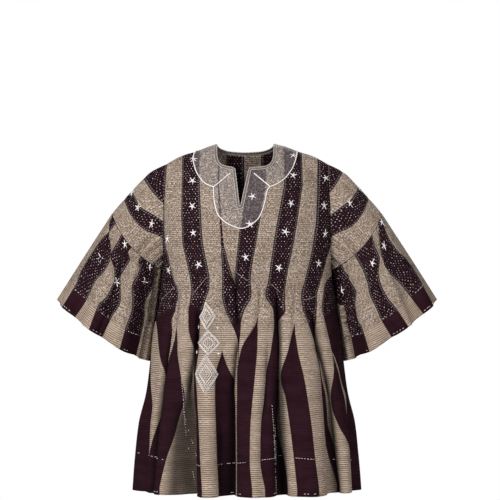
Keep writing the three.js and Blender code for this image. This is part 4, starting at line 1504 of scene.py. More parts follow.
@dataclass
class BodyCloth:
    """Front or back of the gown: yoke and gathered skirt in one run of strips."""

    strips: StripPlan
    surface: Surface
    neck: list[Point]
    yoke_rows: int = 84
    skirt_rows: int = 100
    ridge: float = 4.5
    trough: float = 4.0
    spots: dict[tuple[int, float, float], Point] = field(default_factory=dict)
    puffs: dict[float, SeamLine] = field(default_factory=dict)
    pleats: dict[float, SeamLine] = field(default_factory=dict)
    running: dict[tuple[int, float], float] = field(default_factory=dict)

    def half_at(self, row: float) -> float:
        """Returns half the width of the section at a row; rows above 0 lie in the skirt."""
        if row <= 0:
            return YOKE_EDGE.at(row + 1)
        return SKIRT_HALF.at(self.skirt_z(row))

    def skirt_z(self, row: float) -> float:
        """Returns the height of a skirt row, from 0 at the waist to 1 at the hem."""
        return lerp(LEVELS.waist, LEVELS.hem, row)

    def spot(self, k: int, share: float, row: float) -> Point:
        """Finds where a place on a strip lies, as distance across and height.

        Args:
            k: The strip.
            share: Share of the way across it.
            row: -1 at the shoulder, 0 at the waist, 1 at the hem.

        Returns:
            Distance across and height, in millimetres.
        """
        if (k, share, row) in self.spots:
            return self.spots[(k, share, row)]
        half = self.half_at(row)
        power = YOKE_POWER if row <= 0 else lerp(YOKE_POWER, HEM_POWER, row)
        x, z = 0.0, -200.0
        for _ in range(1 if row > 0 else 3):
            z = self.skirt_z(row) if row > 0 else lerp(SHOULDER_Z.at(abs(x)), LEVELS.waist, row + 1)
            ends = []
            for edge in (k, k + 1):
                held = max(-half, min(half, self.strips.edge(edge, z)))
                ends.append(math.copysign(math.asin(clamp(abs(held) / half) ** (power / 2)), held))
            turn = lerp(ends[0], ends[1], share)
            x = math.copysign(half * abs(math.sin(turn)) ** (2 / power), turn)
        self.spots[(k, share, row)] = (x, z)
        return x, z

    def width(self, k: int, row: float) -> float:
        """Returns the width of a strip along the cloth at a row."""
        x0, z = self.spot(k, 0.0, row)
        x1, _ = self.spot(k, 1.0, row)
        if x1 - x0 < 0.01:
            return 0.0
        return (self.surface.form(x1, z) - self.surface.form(x0, z)).length

    def line_up(self, row: float) -> None:
        """Works out the seams, swells and pleats along one row, and the run of the cloth."""
        if row in self.puffs:
            return
        count = len(self.strips.kinds)
        widths = [self.width(k, row) for k in range(count)]
        rises = [self.ridge if kind is Stripe.TAN else -self.trough for kind in self.strips.kinds]
        self.puffs[row] = SeamLine(widths, [crown(width) for width in widths])
        self.pleats[row] = SeamLine(
            widths, [rise * clamp(width / PLEAT_WIDTH) for rise, width in zip(rises, widths)]
        )
        far = -sum(widths) / 2
        for k, width in enumerate(widths):
            self.running[(k, row)] = far
            far += width

    @staticmethod
    def gathered(z: float) -> float:
        """Returns how strongly the gathers show at a height."""
        return ease(-z, *GATHER_START) * (1 - GATHER_LOSS * ease(-z, *GATHER_SOFT))

    def lift(self, k: int, share: float, row: float) -> float:
        """Finds how far seams, swells and pleats lift the cloth.

        Args:
            k: The strip; tan ones stand out as ridges and dark ones fall back.
            share: Share of the way across it.
            row: The row of the cloth.

        Returns:
            The lift in millimetres, below zero for a trough.
        """
        self.line_up(row)
        x, z = self.spot(k, share, row)
        return self.relief(row, k, share, x, z)

    def relief(self, row: float, k: int, share: float, x: float, z: float) -> float:
        """Finds the lift at a place whose row is already lined up.

        Args:
            row: The row of the cloth.
            k: The strip.
            share: Share of the way across it.
            x: Distance across.
            z: Height.

        Returns:
            The lift in millimetres; the gathers leave the side seams as they are.
        """
        swell = self.puffs[row].height(k, share, SWELL_POWER)
        pleat = self.pleats[row].height(k, share, PLEAT_POWER) * self.gathered(z)
        dent = WAIST_DENT * bell((z - WAIST_DENT_Z) / WAIST_DENT_HALF)
        return swell + (pleat - dent) * (1 - ease(abs(x), *SIDE_FADE))

    def place(self, k: int, share: float, row: float) -> Vector:
        """Returns the point of the cloth at a place on a strip."""
        x, z = self.spot(k, share, row)
        return self.surface.at(x, z, self.lift(k, share, row))

    def depth(self, k: int, share: float, row: float) -> float:
        """Returns how deep a place lies in a fold, from 0 to 1."""
        return self.surface.depth(*self.spot(k, share, row))

    def is_dark(self, x: float, z: float) -> bool:
        """Returns whether a place lies on a dark strip."""
        return self.strips.kinds[self.strip_at(x, z)[0]] is Stripe.DARK

    def strip_at(self, x: float, z: float) -> tuple[int, float]:
        """Returns the strip at a place and the share of the way across it."""
        half = SKIRT_HALF.at(z) if z < LEVELS.waist else 200.0
        for k in range(len(self.strips.kinds)):
            start, end = (self.strips.edge(edge, z) for edge in (k, k + 1))
            if start <= x < end:
                start, end = max(start, -half), min(end, half)
                return k, clamp((x - start) / max(1.0, end - start))
        return 0, 0.0

    def at(self, x: float, z: float, lift: float = 0.0) -> Vector:
        """Returns the point that lies above the finished cloth, in metres."""
        k, share = self.strip_at(x, z)
        top = SHOULDER_Z.at(abs(x))
        row = (top - z) / (top - LEVELS.waist) - 1
        if z < LEVELS.waist:
            row = (LEVELS.waist - z) / (LEVELS.waist - LEVELS.hem)
        near = min(self.puffs, key=lambda known: abs(known - row))
        return self.surface.at(x, z, lift + self.relief(near, k, share, x, z)) * MM

    def build(self, name: str) -> bpy.types.Object:
        """Returns the finished cloth piece, with its neck cut out."""
        rows = [(j / self.yoke_rows) ** 1.35 - 1 for j in range(self.yoke_rows)]
        rows += [j / self.skirt_rows for j in range(self.skirt_rows + 1)]
        for row in rows:
            self.line_up(row)
        widest = [max(self.puffs[row].widths[k] for row in rows) for k in range(len(self.strips.kinds))]
        sheet = WovenSheet(
            name=name, kinds=self.strips.kinds, shares=[shares_for(width) for width in widest], rows=rows,
            place=self.place, measure=self.measure,
            to_seam=lambda k, share, row: self.puffs[row].to_seam(k, share), stitched=self.stitched,
            depth=self.depth, centre=Vector((0, 0, -400))
        )
        bm = sheet.mesh()
        self.cut_neck(bm)
        piece = object_from(bm, name)
        thicken(piece)
        return piece

    def measure(self, k: int, share: float, row: float) -> Point:
        """Returns the distance from the middle of the cloth, and down it, in millimetres."""
        across = self.running[(k, row)] + share * self.puffs[row].widths[k]
        return across, -self.spot(k, share, row)[1]

    def stitched(self, k: int, share: float, row: float) -> float:
        """Returns 1 where the running stitch covers a strip and 0 where it is plain."""
        x, z = self.spot(k, share, row)
        dark = self.strips.kinds[k] is Stripe.DARK
        end, fade = DARK_STITCH_END if dark else TAN_STITCH_END
        if dark:
            end -= STITCH_WAVE * math.sin(x / STITCH_WAVE_RUN)
        return 1 - ease(-z, end - fade, end + fade)

    def cut_neck(self, bm: bmesh.types.BMesh) -> None:
        """Removes the cloth inside the neck line and draws the cut edge onto the line."""
        inside = [
            face for face in bm.faces if face.calc_center_median().z > -0.2 and inside_outline(
                self.neck, face.calc_center_median().x / MM, face.calc_center_median().z / MM
            )
        ]
        rim = {vert for face in inside for vert in face.verts}
        bmesh.ops.delete(bm, geom=inside, context="FACES")
        for vert in rim:
            if vert.is_valid:
                x, z = nearest_on(self.neck, vert.co.x / MM, vert.co.z / MM)
                vert.co = self.at(x, z)


@dataclass
class SleeveCloth:
    """One sleeve: the banded cap, and the gathered flare that is sewn to it."""

    side: Side
    strips: StripPlan
    bands: tuple[float, ...]
    steps: Point = (1.0, 0.02)
    run_up: float = 26.0
    run_up_turns: Point = (50, 150)
    cap_turns: int = 96
    flare_rows: int = 56

    def __post_init__(self) -> None:
        """Sets up the two surfaces and the cap's length at each turn."""
        self.cap = self.surface(cap_point, (-199, -170), (-265, -230), CAP_CREASES)
        self.flare = self.surface(flare_point, (-265, -231), (-346, -443), FLARE_CREASES)
        self.lengths: dict[float, float] = {}

    def surface(
        self, form: Callable[[float, float], Vector], start: Point, end: Point, creases: Sequence[Crease]
    ) -> Surface:
        """Makes one of the sleeve's two surfaces.

        Args:
            form: The right sleeve's form, from turn and share.
            start: Across and height of its inner line at share 0.
            end: The same at share 1.
            creases: The creases that lie on it.

        Returns:
            The surface, on this sleeve's side.
        """

        def shell(turn: float, share: float) -> Vector:
            """Returns the place on the form at any turn and share."""
            return self.mirrored(form(turn % 360, share))

        def core(_turn: float, share: float) -> Vector:
            """Returns the place of the inner line at a share."""
            return self.mirrored(Vector((lerp(start[0], end[0], share), 0, lerp(start[1], end[1], share))))

        return Surface(shell, core, creases, self.steps)

    def mirrored(self, point: Vector) -> Vector:
        """Returns a point of the right sleeve, carried over to this side."""
        return Vector((-self.side.value * point.x, point.y, point.z))

    def length(self, turn: float) -> float:
        """Returns the cap's length from the flare seam to the armhole at a turn."""
        if turn not in self.lengths:
            points = [cap_point(turn % 360, k / 6) for k in range(7)]
            self.lengths[turn] = sum((b - a).length for a, b in zip(points, points[1:]))
        return self.lengths[turn]

    def cap_at(self, turn: float, share: float, lift: float) -> Vector:
        """Returns the point that lies above the finished cap, in metres."""
        return self.cap.at(turn, clamp(share), lift + 1.0) * MM

    def flare_at(self, turn: float, share: float, lift: float) -> Vector:
        """Returns the point that lies above the finished flare, in metres."""
        return self.flare.at(turn, clamp(share), lift + 1.1) * MM

    def band_edge(self, k: int, turn: float) -> float:
        """Returns how far a band's edge lies from the flare seam; bands run up at the armhole."""
        low = ease(min(turn, 360 - turn), *self.run_up_turns)
        run_up = self.run_up * low if 0 < k < len(self.bands) - 1 else 0.0
        return min(self.bands[k] + run_up, self.length(turn))

    def is_dark(self, turn: float, share: float) -> bool:
        """Returns whether a place on the flare lies on a dark strip."""
        plan = self.strips
        return any(
            kind is Stripe.DARK and plan.edge(k, share) + 1 < turn < plan.edge(k + 1, share) - 1
            for k, kind in enumerate(plan.kinds)
        )

    def band_place(self, k: int, share: float, turn: float) -> tuple[float, float]:
        """Returns the distance from the flare seam and the cap share of a place on a band."""
        length = self.length(turn)
        start = self.band_edge(k, turn)
        end = self.band_edge(k + 1, turn)
        far = lerp(start, end, share)
        return far, 1 - far / length

    def build_cap(self, name: str) -> bpy.types.Object:
        """Returns the sleeve cap, banded in line with the flare seam."""
        turns = [360 * i / self.cap_turns for i in range(self.cap_turns + 1)]

        def band_width(k: int, turn: float) -> float:
            """Returns the width of a band at a turn."""
            return self.band_edge(k + 1, turn) - self.band_edge(k, turn)

        def place(k: int, share: float, turn: float) -> Vector:
            """Returns the point at a share of the way across a band."""
            return self.cap.at(turn, self.band_place(k, share, turn)[1], puff(share, band_width(k, turn)))

        sheet = WovenSheet(
            name=name, kinds=CAP_KINDS, shares=[WIDE_STRIP] * len(CAP_KINDS), rows=turns, place=place,
            measure=lambda k, share, turn: (share * band_width(k, turn), turn * CAP_TURN_RUN),
            to_seam=lambda k, share, turn: min(share, 1 - share) * band_width(k, turn),
            stitched=lambda k, share, turn: 1.0,
            depth=lambda k, share, turn: self.cap.depth(turn, self.band_place(k, share, turn)[1]),
            centre=self.mirrored(Vector((-240, 0, -190)))
        )
        piece = object_from(sheet.mesh(), name)
        thicken(piece)
        return piece

    def build_flare(self, name: str) -> bpy.types.Object:
        """Returns the flare, with strips that run from the cap seam to the cuff."""
        rows = [j / self.flare_rows for j in range(self.flare_rows + 1)]
        plan = self.strips

        def turn_at(k: int, share: float, row: float) -> float:
            """Returns the turn of a place on a strip."""
            return lerp(plan.edge(k, row), plan.edge(k + 1, row), share)

        def width(k: int, row: float) -> float:
            """Returns the width of a strip at a row."""
            start, end = (self.flare.form(turn_at(k, share, row), row) for share in (0.0, 1.0))
            return (end - start).length

        def along(k: int, share: float, row: float) -> float:
            """Returns the distance of a place from the cap seam."""
            turn = turn_at(k, share, row)
            return (self.flare.form(turn, row) - self.flare.form(turn, 0.0)).length

        widths = {(k, row): width(k, row) for k in range(len(plan.kinds)) for row in rows}
        lines = {}
        for row in rows:
            line = [widths[(k, row)] for k in range(len(plan.kinds))]
            lines[row] = SeamLine(line, [crown(across) for across in line])
        sheet = WovenSheet(
            name=name, kinds=plan.kinds,
            shares=[shares_for(max(widths[(k, row)] for row in rows)) for k in range(len(plan.kinds))],
            rows=rows,
            place=lambda k, share, row: self.flare.at(
                turn_at(k, share, row), row, lines[row].height(k, share, SWELL_POWER)
            ),
            measure=lambda k, share, row: (
                (share - 0.5) * widths[(k, row)] + FLARE_STEP * k, along(k, share, row)
            ),
            to_seam=lambda k, share, row: lines[row].to_seam(k, share),
            stitched=lambda k, share, row: 1 - ease(row, *CUFF_STITCH_END),
            depth=lambda k, share, row: self.flare.depth(turn_at(k, share, row), row),
            centre=self.mirrored(Vector((-305, 0, -330)))
        )
        piece = object_from(sheet.mesh(), name)
        thicken(piece)
        return piece


LOBE_RIGHT = (
    (-119.5, -12.0), (-126, -24), (-128.1, -35), (-124.5, -53), (-115.9, -74), (-99, -95), (-78.1, -104.6)
)
LOBE_LOWER = (
    (-78.1, -104.6), (-77.5, -120), (-76.2, -137), (-69.9, -164), (-59.8, -179), (-41.8, -192.5),
    (-15.2, -202.1), (6.5, -195.6), (28.4, -176.1), (41.1, -143.2), (47.1, -115), (54.2, -104)
)
LOBE_LEFT = ((54.2, -104), (71.9, -96.7), (92.2, -80.4), (109, -55.1), (117.2, -30), (120.3, -12.0))
LOBES_BACK = (
    ((-119.5, -12.0), (-118, -34), (-106, -56), (-84, -69), (-62, -66), (-47, -55)),
    ((-47, -55), (-40, -76), (-22, -90), (0, -92), (20, -83), (33, -70), (39, -55)),
    ((39, -55), (55, -66), (78, -69), (102, -56), (117, -34), (120.3, -12.0))
)


@dataclass
class NeckWork:
    """Embroidered neck: stitched ground, raised outline and the double corded edge."""

    front: BodyCloth
    back: BodyCloth
    groups: dict[str, bpy.types.NodeTree]
    rows: int = 16
    lift: float = 0.8
    cord: float = 1.35
    band: float = 6.2

    def panel_material(self) -> bpy.types.Material:
        """Returns the stitched ground: pale thread over the strips that lie under it."""
        material, w, shader = new_material("neck_stitching")
        place = w.add("ShaderNodeTexCoord").outputs["Object"]
        lines = w.add("ShaderNodeGroup", node_tree=self.groups["vermicelli"])
        w.feed(lines.inputs["Place"], place)
        lines.inputs["Scale"].default_value = 255.0
        under = w.step(w.attribute("under_dark").outputs["Fac"], 0.4, 0.6)
        cloth = w.blend(under, from_screen(92, 78, 68), DARK_CLOTH.ground)
        soft = w.noise(place, 160.0, 2.0)
        pale = w.blend(under, from_screen(184, 173, 165), from_screen(134, 125, 124))
        grey = w.blend(under, from_screen(134, 122, 116), from_screen(80, 71, 71))
        thread = w.blend(w.step(soft, 0.3, 0.7), pale, grey)
        shown = w.sum("SUBTRACT", 1.0, w.sum("MULTIPLY", under, 0.3))
        drawn = w.sum("MULTIPLY", lines.outputs["Mask"], shown)
        w.feed(shader.inputs["Base Color"], w.blend(drawn, cloth, thread))
        w.feed(shader.inputs["Normal"], w.bump(lines.outputs["Height"], 0.0009))
        w.feed(shader.inputs["Roughness"], w.sum("ADD", w.sum("MULTIPLY", soft, 0.15), 0.75))
        shader.inputs["Sheen Weight"].default_value = 0.1
        return material

    def loft(
        self, bm: bmesh.types.BMesh, cloth: BodyCloth, inner: Sequence[Point], outer: Sequence[Point]
    ) -> None:
        """Adds a strip of stitched ground between two lines of the same length.

        Args:
            bm: The mesh that it goes into.
            cloth: The cloth that it lies on.
            inner: Places along the neck edge.
            outer: Places along the scalloped edge.
        """
        count = len(inner) - 1
        under = bm.verts.layers.float.get("under_dark") or bm.verts.layers.float.new("under_dark")
        made = bmesh.ops.create_grid(bm, x_segments=count, y_segments=self.rows, size=0.5)["verts"]
        for vert, i, j in grid_places(made, count, self.rows):
            share = j / self.rows
            x = lerp(inner[i][0], outer[i][0], share)
            z = lerp(inner[i][1], outer[i][1], share)
            vert[under] = float(cloth.strips.kinds[cloth.strip_at(x, z)[0]] is Stripe.DARK)
            vert.co = cloth.at(x, z, self.lift)

    def build_panel(self) -> bpy.types.Object:
        """Returns the stitched ground round the whole neck."""
        bm = bmesh.new()
        right, slit, left = NECK.sections()
        for inner, outer, count in (
            (right, through(LOBE_RIGHT), 60), (slit, through(LOBE_LOWER), 120),
            (left, through(LOBE_LEFT), 60)
        ):
            self.loft(bm, self.front, spread(inner, count), spread(outer, count))
        rear = NECK.back()
        marks = (0, len(rear) // 3, len(rear) - 1 - len(rear) // 3, len(rear) - 1)
        for lobe, start, end in zip(LOBES_BACK, marks, marks[1:]):
            self.loft(bm, self.back, spread(rear[start : end + 1], 60), spread(through(lobe), 60))
        bmesh.ops.remove_doubles(bm, verts=bm.verts, dist=0.0003)
        for face in bm.faces:
            facing = Face.FRONT if face.calc_center_median().y < 0 else Face.BACK
            if face.normal.y * facing.value < 0:
                face.normal_flip()
        piece = object_from(bm, "neck_embroidery")
        piece.data.materials.append(self.panel_material())
        return piece

    def ring(self, off: float, lift: float) -> list[Vector]:
        """Returns the closed line round the neck, a distance off its edge, in metres."""
        front = beside(NECK.front(), -off)
        rear = beside(NECK.back(), -off)[::-1]
        return [self.front.at(x, z, lift) for x, z in front] + [
            self.back.at(x, z, lift) for x, z in rear[1:-1]
        ]

    def build_band(self, material: bpy.types.Material) -> bpy.types.Object:
        """Returns the flat folded band that binds the neck edge."""
        offs = (-0.6, 0.4, 2.4, 4.4, self.band)
        lifts = (-1.4, 1.6, 1.9, 1.9, 1.1)
        rings = [self.ring(off, lift) for off, lift in zip(offs, lifts)]
        around = len(rings[0])
        bm = bmesh.new()
        bmesh.ops.create_grid(bm, x_segments=around, y_segments=len(rings) - 1, size=0.5)
        for vert, i, j in grid_places(bm.verts, around, len(rings) - 1):
            vert.co = rings[j][i % around]
        bmesh.ops.remove_doubles(bm, verts=bm.verts, dist=0.00001)
        bmesh.ops.recalc_face_normals(bm, faces=bm.faces)
        if sum(face.normal.y * face.calc_center_median().y for face in bm.faces) < 0:
            bmesh.ops.reverse_faces(bm, faces=bm.faces)
        piece = object_from(bm, "neck_band")
        piece.data.materials.append(material)
        thicken(piece, 0.8)
        return piece

    def build_outline(self, material: bpy.types.Material) -> bpy.types.Object:
        """Returns the raised white cord round the lobes, with the two slanting lines."""
        lift = self.lift + 0.9
        paths = []
        for cloth, lobes in ((self.front, (LOBE_RIGHT, LOBE_LOWER, LOBE_LEFT)), (self.back, LOBES_BACK)):
            for lobe in lobes:
                paths.append([cloth.at(x, z, lift) for x, z in spread(through(lobe), 70)])
        for start, end in (((-78.1, -104.6), (-38.8, -72)), ((54.2, -104), (16.6, -72.5))):
            paths.append([self.front.at(x, z, lift) for x, z in spread((start, end), 20)])
        return thread_piece("neck_outline", paths, self.cord, material, sides=2)

    def build_edge_cords(self, material: bpy.types.Material) -> bpy.types.Object:
        """Returns the two thin cords that border the band."""
        paths = [self.ring(0.3, 2.0), self.ring(self.band, 1.5)]
        return thread_piece("neck_edge_cords", paths, 0.95, material, sides=1, closed=True)


@dataclass(frozen=True)
class StarPlan:
    """Where the stars lie: across and height on the body, turn and share on the sleeves."""

    front: tuple[Point, ...] = (
        (-127, -36), (-129, -89), (-128, -150), (-125, -212), (-113, -286), (-187, -226), (-184, -300),
        (-3, -269), (13, -127), (6, -191), (110, -27), (109, -76), (103, -143), (90, -210), (75, -294),
        (187, -81), (182, -147), (182, -214), (168, -284)
    )
    back: tuple[Point, ...] = (
        (-114, -62), (-112, -124), (-111, -188), (-109, -254), (-28, -122), (-28, -186), (-27, -252),
        (55, -118), (54, -180), (53, -248), (137, -60), (136, -128), (134, -196), (132, -262),
        (-185, -162), (-185, -238)
    )
    caps: dict[Side, tuple[Point, ...]] = field(
        default_factory=lambda: {
            Side.RIGHT: ((18.9, 0.523), (57.9, 0.465), (92.4, 0.275), (318, 0.5), (284, 0.4)),
            Side.LEFT: ((60.6, 0.34), (9, 0.47), (325, 0.42), (280, 0.3))
        }
    )
    flares: dict[Side, tuple[Point, ...]] = field(
        default_factory=lambda: {
            Side.RIGHT: (
                (54, 0.35), (81, 0.035), (134, 0.04), (91, 0.4), (131, 0.2), (226, 0.3), (269, 0.5)
            ),
            Side.LEFT: (
                (36, 0.03), (58, 0.19), (88, 0.21), (150, 0.26), (226, 0.42), (269, 0.25), (313, 0.4)
            )
        }
    )


Reader = Callable[[float, float, float], Vector]


@dataclass
class HandStitches:
    """Rows of short hand stitches along hems, cuffs and seams."""

    lift: float = 0.35
    filled: float = 0.5

    def row(
        self, at: Reader, line: Sequence[Point], count: int, keep: Callable[[float, float], bool],
        kept: float = 1.0
    ) -> list[list[Vector]]:
        """Finds the stitches of one row.

        Args:
            at: Reads the finished cloth, in metres.
            line: The row's line, in the surface's own measures.
            count: How many stitches fit in it.
            keep: Tells whether a stitch may lie at a place.
            kept: Share of the stitches that show on this face of the cloth.

        Returns:
            The centre line of each stitch.
        """
        chance = random.Random(count)
        stitches = []
        for i in range(count):
            first = (i + chance.uniform(0.0, 0.25)) / count
            size = self.filled * chance.uniform(0.7, 1.2) / count
            places = [self.along(line, first + size * t) for t in (0.0, 0.5, 1.0)]
            if chance.random() < kept and all(keep(*place) for place in places):
                stitches.append(
                    [at(*place, self.lift + bow) for place, bow in zip(places, (-0.3, 0.15, -0.3))]
                )
        return stitches

    @staticmethod
    def along(line: Sequence[Point], share: float) -> Point:
        """Returns the place at a share of a line's points."""
        far = clamp(share) * (len(line) - 1)
        i = min(int(far), len(line) - 2)
        return (lerp(line[i][0], line[i + 1][0], far - i), lerp(line[i][1], line[i + 1][1], far - i))


@dataclass(frozen=True)
class SeamWork:
    """Where the loose threads and rows of stitches lie.

    Strands and seams give across and height, hem rows give height, wave, count and share
    kept, and cuff rows give share of the flare, count and share kept.
    """

    strands: tuple[tuple[Point, Point], ...] = (
        ((-201, -370), (-174, -339)), ((-126, -352), (-93, -315)), ((-25, -303), (-2, -322)),
        ((54, -331), (79, -350)), ((136, -369), (167, -360))
    )
    front_seams: tuple[tuple[Point, Point, int], ...] = (
        ((-153.5, -548), (-139, -818), 44), ((-151, -600), (-132, -818), 30),
        ((58, -599), (72, -819), 36), ((65, -650), (78, -819), 27), ((-168, -372), (-176, -470), 18)
    )
    back_seams: tuple[tuple[Point, Point, int], ...] = (
        ((-46, -560), (-53, -816), 40), ((121, -600), (147, -816), 34)
    )
    hem_rows: tuple[tuple[float, float, int, float], ...] = (
        (-741.0, 9.0, 92, 0.9), (-815.0, 0.0, 80, 0.45)
    )
    cuff_rows: tuple[tuple[float, int, float], ...] = ((0.775, 96, 0.7), (0.975, 110, 0.5))
    hem_half: float = 256.0
    strand_lift: float = 0.9

    def hem_line(self, level: float, wave: float) -> list[Point]:
        """Returns the line of a hem row, which rises and falls a little."""
        places = [lerp(-self.hem_half, self.hem_half, i / 60) for i in range(61)]
        return [(x, level + wave * math.sin(x / 58)) for x in places]


@dataclass(frozen=True)
class Lozenge:
    """One lozenge of the waist embroidery, in millimetres."""

    centre: Point
    half_wide: float
    half_high: float

    def outline(self, size: float) -> list[Point]:
        """Returns the closed outline at a share of the full size."""
        corners = ((0, 1), (1, 0), (0, -1), (-1, 0), (0, 1))
        points = []
        for (x0, z0), (x1, z1) in zip(corners, corners[1:]):
            for i in range(6):
                x, z = lerp(x0, x1, i / 6), lerp(z0, z1, i / 6)
                points.append(
                    (
                        self.centre[0] + x * self.half_wide * size,
                        self.centre[1] + z * self.half_high * size
                    )
                )
        return [*points, points[0]]

    def filling(self, size: float, row: float, stitch: float) -> list[tuple[Point, Point]]:
        """Finds the short stitches that fill the lozenge.

        Args:
            size: Share of the full size that is filled.
            row: Distance between rows.
            stitch: Length of a stitch, and of the gap after it.

        Returns:
            The two ends of each stitch.
        """
        ends = []
        rows = int(self.half_high * size / row)
        for j in range(-rows, rows + 1):
            reach = self.half_wide * size * (1 - abs(j) * row / (self.half_high * size))
            x = -reach + (stitch if j % 2 else 0.0)
            while x + stitch <= reach:
                z = self.centre[1] + j * row
                ends.append(((self.centre[0] + x, z), (self.centre[0] + x + stitch, z + 0.6)))
                x += 2 * stitch
        return ends


@dataclass
class WaistMotif:
    """Plain geometric embroidery at the waist: stacked lozenges, filled, with crosses."""

    lozenges: tuple[Lozenge, ...] = (
        Lozenge((-91, -408), 18, 32), Lozenge((-88, -468), 25, 28), Lozenge((-93, -540), 26, 44)
    )
    crosses: tuple[Point, ...] = ((-112, -431), (-68, -433), (-116, -489), (-66, -492))
    arm: float = 4.0
    lift: float = 0.75

    def lines(self, at: Reader) -> list[list[Vector]]:
        """Returns the outlines and crosses, as centre lines of thread."""
        paths = []
        for lozenge in self.lozenges:
            for size in (1.0, 0.88, 0.5):
                paths.append([at(x, z, self.lift) for x, z in lozenge.outline(size)])
        for x, z in self.crosses:
            for across, down in ((self.arm, 0.0), (0.0, self.arm)):
                ends = ((-1, 0.0), (0, 0.3), (1, 0.0))
                paths.append([at(x + t * across, z + t * down, self.lift + bow) for t, bow in ends])
        return paths

    def fillings(self, at: Reader) -> list[list[Vector]]:
        """Returns the short filling stitches, as centre lines of thread."""
        paths = []
        for lozenge in self.lozenges:
            for start, end in lozenge.filling(0.84, 2.1, 2.4):
                paths.append([at(*start, self.lift - 0.3), at(*end, self.lift - 0.3)])
        return paths


@dataclass
class Studio:
    """Camera, light and pale floor."""

    eye: tuple[float, float, float] = (0.0072, -4.25, -0.252)
    lens: float = 127.5
    floor_z: float = -1.45
    floor_radius: float = 3.4

    def add_camera(self) -> None:
        """Makes the camera: level, square on to the front of the gown."""
        camera = bpy.data.objects.new("camera", bpy.data.cameras.new("camera"))
        camera.data.lens = self.lens
        camera.data.sensor_width = 36.0
        camera.data.clip_start = 0.1
        camera.data.clip_end = 60.0
        camera.location = self.eye
        camera.rotation_euler = (math.radians(90), 0.0, 0.0)
        bpy.context.scene.collection.objects.link(camera)
        bpy.context.scene.camera = camera

    def add_floor(self) -> None:
        """Makes the round pale floor."""
        bm = bmesh.new()
        bmesh.ops.create_circle(bm, cap_ends=True, segments=96, radius=self.floor_radius)
        bmesh.ops.translate(bm, verts=bm.verts, vec=(0, 0, self.floor_z))
        floor = object_from(bm, "floor")
        material, w, shader = new_material("pale_floor")
        cloud = w.noise(w.add("ShaderNodeTexCoord").outputs["Object"], 3.0, 3.0)
        pale = w.blend(cloud, (0.82, 0.82, 0.83, 1.0), (0.78, 0.78, 0.79, 1.0))
        w.feed(shader.inputs["Base Color"], pale)
        shader.inputs["Roughness"].default_value = 0.7
        floor.data.materials.append(material)

    def add_light(self, name: str, place: tuple[float, float, float], size: float, power: float) -> None:
        """Makes a square soft light that is aimed at the gown.

        Args:
            name: Name of the light.
            place: Where it stands, in metres.
            size: Length of its side.
            power: Power in watts.
        """
        light = bpy.data.lights.new(name, "AREA")
        light.shape = "SQUARE"
        light.size = size
        light.energy = power
        lamp = bpy.data.objects.new(name, light)
        lamp.location = place
        aim = Vector((0.0, 0.0, -0.35)) - Vector(place)
        lamp.rotation_mode = "QUATERNION"
        lamp.rotation_quaternion = aim.to_track_quat("-Z", "Y")
        bpy.context.scene.collection.objects.link(lamp)

    def build(self) -> None:
        """Makes the whole studio."""
        self.add_camera()
        self.add_floor()
        self.add_light("key", (-1.9, -3.0, 1.7), 0.8, 190.0)
        self.add_light("fill", (2.2, -2.9, 0.5), 1.1, 50.0)
        self.add_light("back", (0.8, 3.1, 1.7), 1.3, 120.0)
        world = bpy.data.worlds.new("studio")
        world.use_nodes = True
        w = Wiring(world.node_tree)
        ground = world.node_tree.nodes["Background"]
        seen = w.add("ShaderNodeLightPath").outputs["Is Camera Ray"]
        w.feed(ground.inputs["Strength"], w.sum("ADD", w.sum("MULTIPLY", seen, 0.84), 0.16))
        ground.inputs["Color"].default_value = (1.0, 1.0, 1.0, 1.0)
        bpy.context.scene.world = world
        bpy.context.scene.view_settings.view_transform = "Standard"


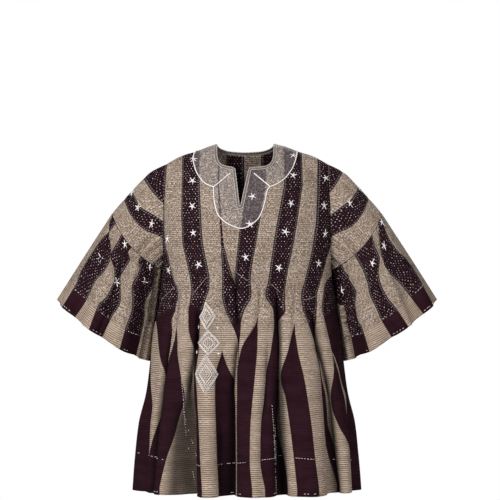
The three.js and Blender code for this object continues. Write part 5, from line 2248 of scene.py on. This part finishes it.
class Smock:
    """The whole gown, built piece by piece in the order that a maker sews it."""

    def __init__(self) -> None:
        """Sets up the forms, groups and finishes."""
        self.groups = {
            "weave": hand_weave_group(), "stitch": running_stitch_group(),
            "vermicelli": vermicelli_group()
        }
        self.cloth = [finish.material(self.groups) for finish in (TAN_CLOTH, DARK_CLOTH)]
        self.white = WHITE_THREAD.material()
        self.cord = GREY_CORD.material()
        self.band = BAND_THREAD.material()
        self.front, self.back = (
            BodyCloth(strips, Surface(body_form(face), lambda x, z: Vector((0, 0, z - 40)), creases), neck)
            for face, strips, creases, neck in (
                (Face.FRONT, FRONT_STRIPS, FRONT_CREASES, NECK.front()),
                (Face.BACK, BACK_STRIPS, BACK_CREASES, NECK.back()),
            )
        )
        self.sleeves = {
            Side.RIGHT: SleeveCloth(Side.RIGHT, RIGHT_FLARE_STRIPS, RIGHT_BANDS),
            Side.LEFT: SleeveCloth(Side.LEFT, LEFT_FLARE_STRIPS, LEFT_BANDS)
        }

    def dress(self, piece: bpy.types.Object) -> None:
        """Gives a cloth piece its two strip materials."""
        for material in self.cloth:
            piece.data.materials.append(material)

    def build_body(self) -> None:
        """Makes the front and back cloth."""
        for name, cloth, nodes in (
            ("front_cloth", self.front, ("front_yoke", "front_skirt")),
            ("back_cloth", self.back, ("back_yoke", "back_skirt"))
        ):
            piece = cloth.build(name)
            self.dress(piece)
            seat(piece, nodes)

    def build_sleeves(self) -> None:
        """Makes the two sleeve caps and flares."""
        for side, sleeve in self.sleeves.items():
            word = side.name.lower()
            cap = sleeve.build_cap(f"{word}_cap_cloth")
            self.dress(cap)
            seat(cap, (f"{word}_sleeve_cap",))
            flare = sleeve.build_flare(f"{word}_flare_cloth")
            self.dress(flare)
            seat(flare, (f"{word}_sleeve_flare",))

    def build_neck(self) -> None:
        """Makes the embroidered neck."""
        work = NeckWork(self.front, self.back, self.groups)
        seat(work.build_panel())
        seat(work.build_band(self.band), ("neck_binding",))
        seat(work.build_outline(self.white))
        seat(work.build_edge_cords(self.cord))

    def build_stars(self) -> None:
        """Makes the stars on the body and the sleeves."""
        plan = StarPlan()
        work = StarWork()
        paths: list[list[Vector]] = []
        for cloth, spots in ((self.front, plan.front), (self.back, plan.back)):
            for spot in spots:
                paths += work.paths(ground_on(cloth.at, cloth.surface, spot), len(paths))
        for side, sleeve in self.sleeves.items():
            for spot in plan.caps[side]:
                paths += work.paths(ground_on(sleeve.cap_at, sleeve.cap, spot), len(paths))
            for spot in plan.flares[side]:
                paths += work.paths(ground_on(sleeve.flare_at, sleeve.flare, spot), len(paths))
        seat(thread_piece("stars", paths, 0.62, self.white))

    def build_stitches(self) -> None:
        """Makes the hem, cuff and seam stitches and the loose strands."""
        work = HandStitches()
        seams = SeamWork()
        paths: list[list[Vector]] = []
        for cloth, rows in ((self.front, seams.front_seams), (self.back, seams.back_seams)):
            for level, wave, count, kept in seams.hem_rows:
                line = seams.hem_line(level, wave)
                paths += work.row(cloth.at, line, count, cloth.is_dark, kept)
            for start, end, count in rows:
                paths += work.row(cloth.at, (start, end), count, lambda x, z: True, 0.85)
        for sleeve in self.sleeves.values():
            for share, count, kept in seams.cuff_rows:
                line = [(turn, share) for turn in range(1, 360, 6)]
                paths += work.row(sleeve.flare_at, line, count, sleeve.is_dark, kept)
        seat(thread_piece("hand_stitches", paths, 0.5, self.white))
        strands = [
            [self.front.at(x, z, seams.strand_lift) for x, z in straight(start, end, 8)]
            for start, end in seams.strands
        ]
        seat(thread_piece("loose_strands", strands, 0.4, self.cord))

    def build_motif(self) -> None:
        """Makes the waist embroidery."""
        motif = WaistMotif()
        seat(thread_piece("motif_lines", motif.lines(self.front.at), 0.8, self.white))
        fills = motif.fillings(self.front.at)
        seat(thread_piece("motif_filling", fills, 0.5, self.white))


def main() -> None:
    """Builds the studio and the gown, and writes how big it is."""
    logging.basicConfig(level=logging.INFO, format="%(name)s: %(message)s")
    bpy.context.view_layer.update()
    Studio().build()
    smock = Smock()
    smock.build_body()
    smock.build_sleeves()
    smock.build_neck()
    smock.build_stars()
    smock.build_stitches()
    smock.build_motif()
    bpy.context.view_layer.update()


if __name__ == "__main__":
    main()
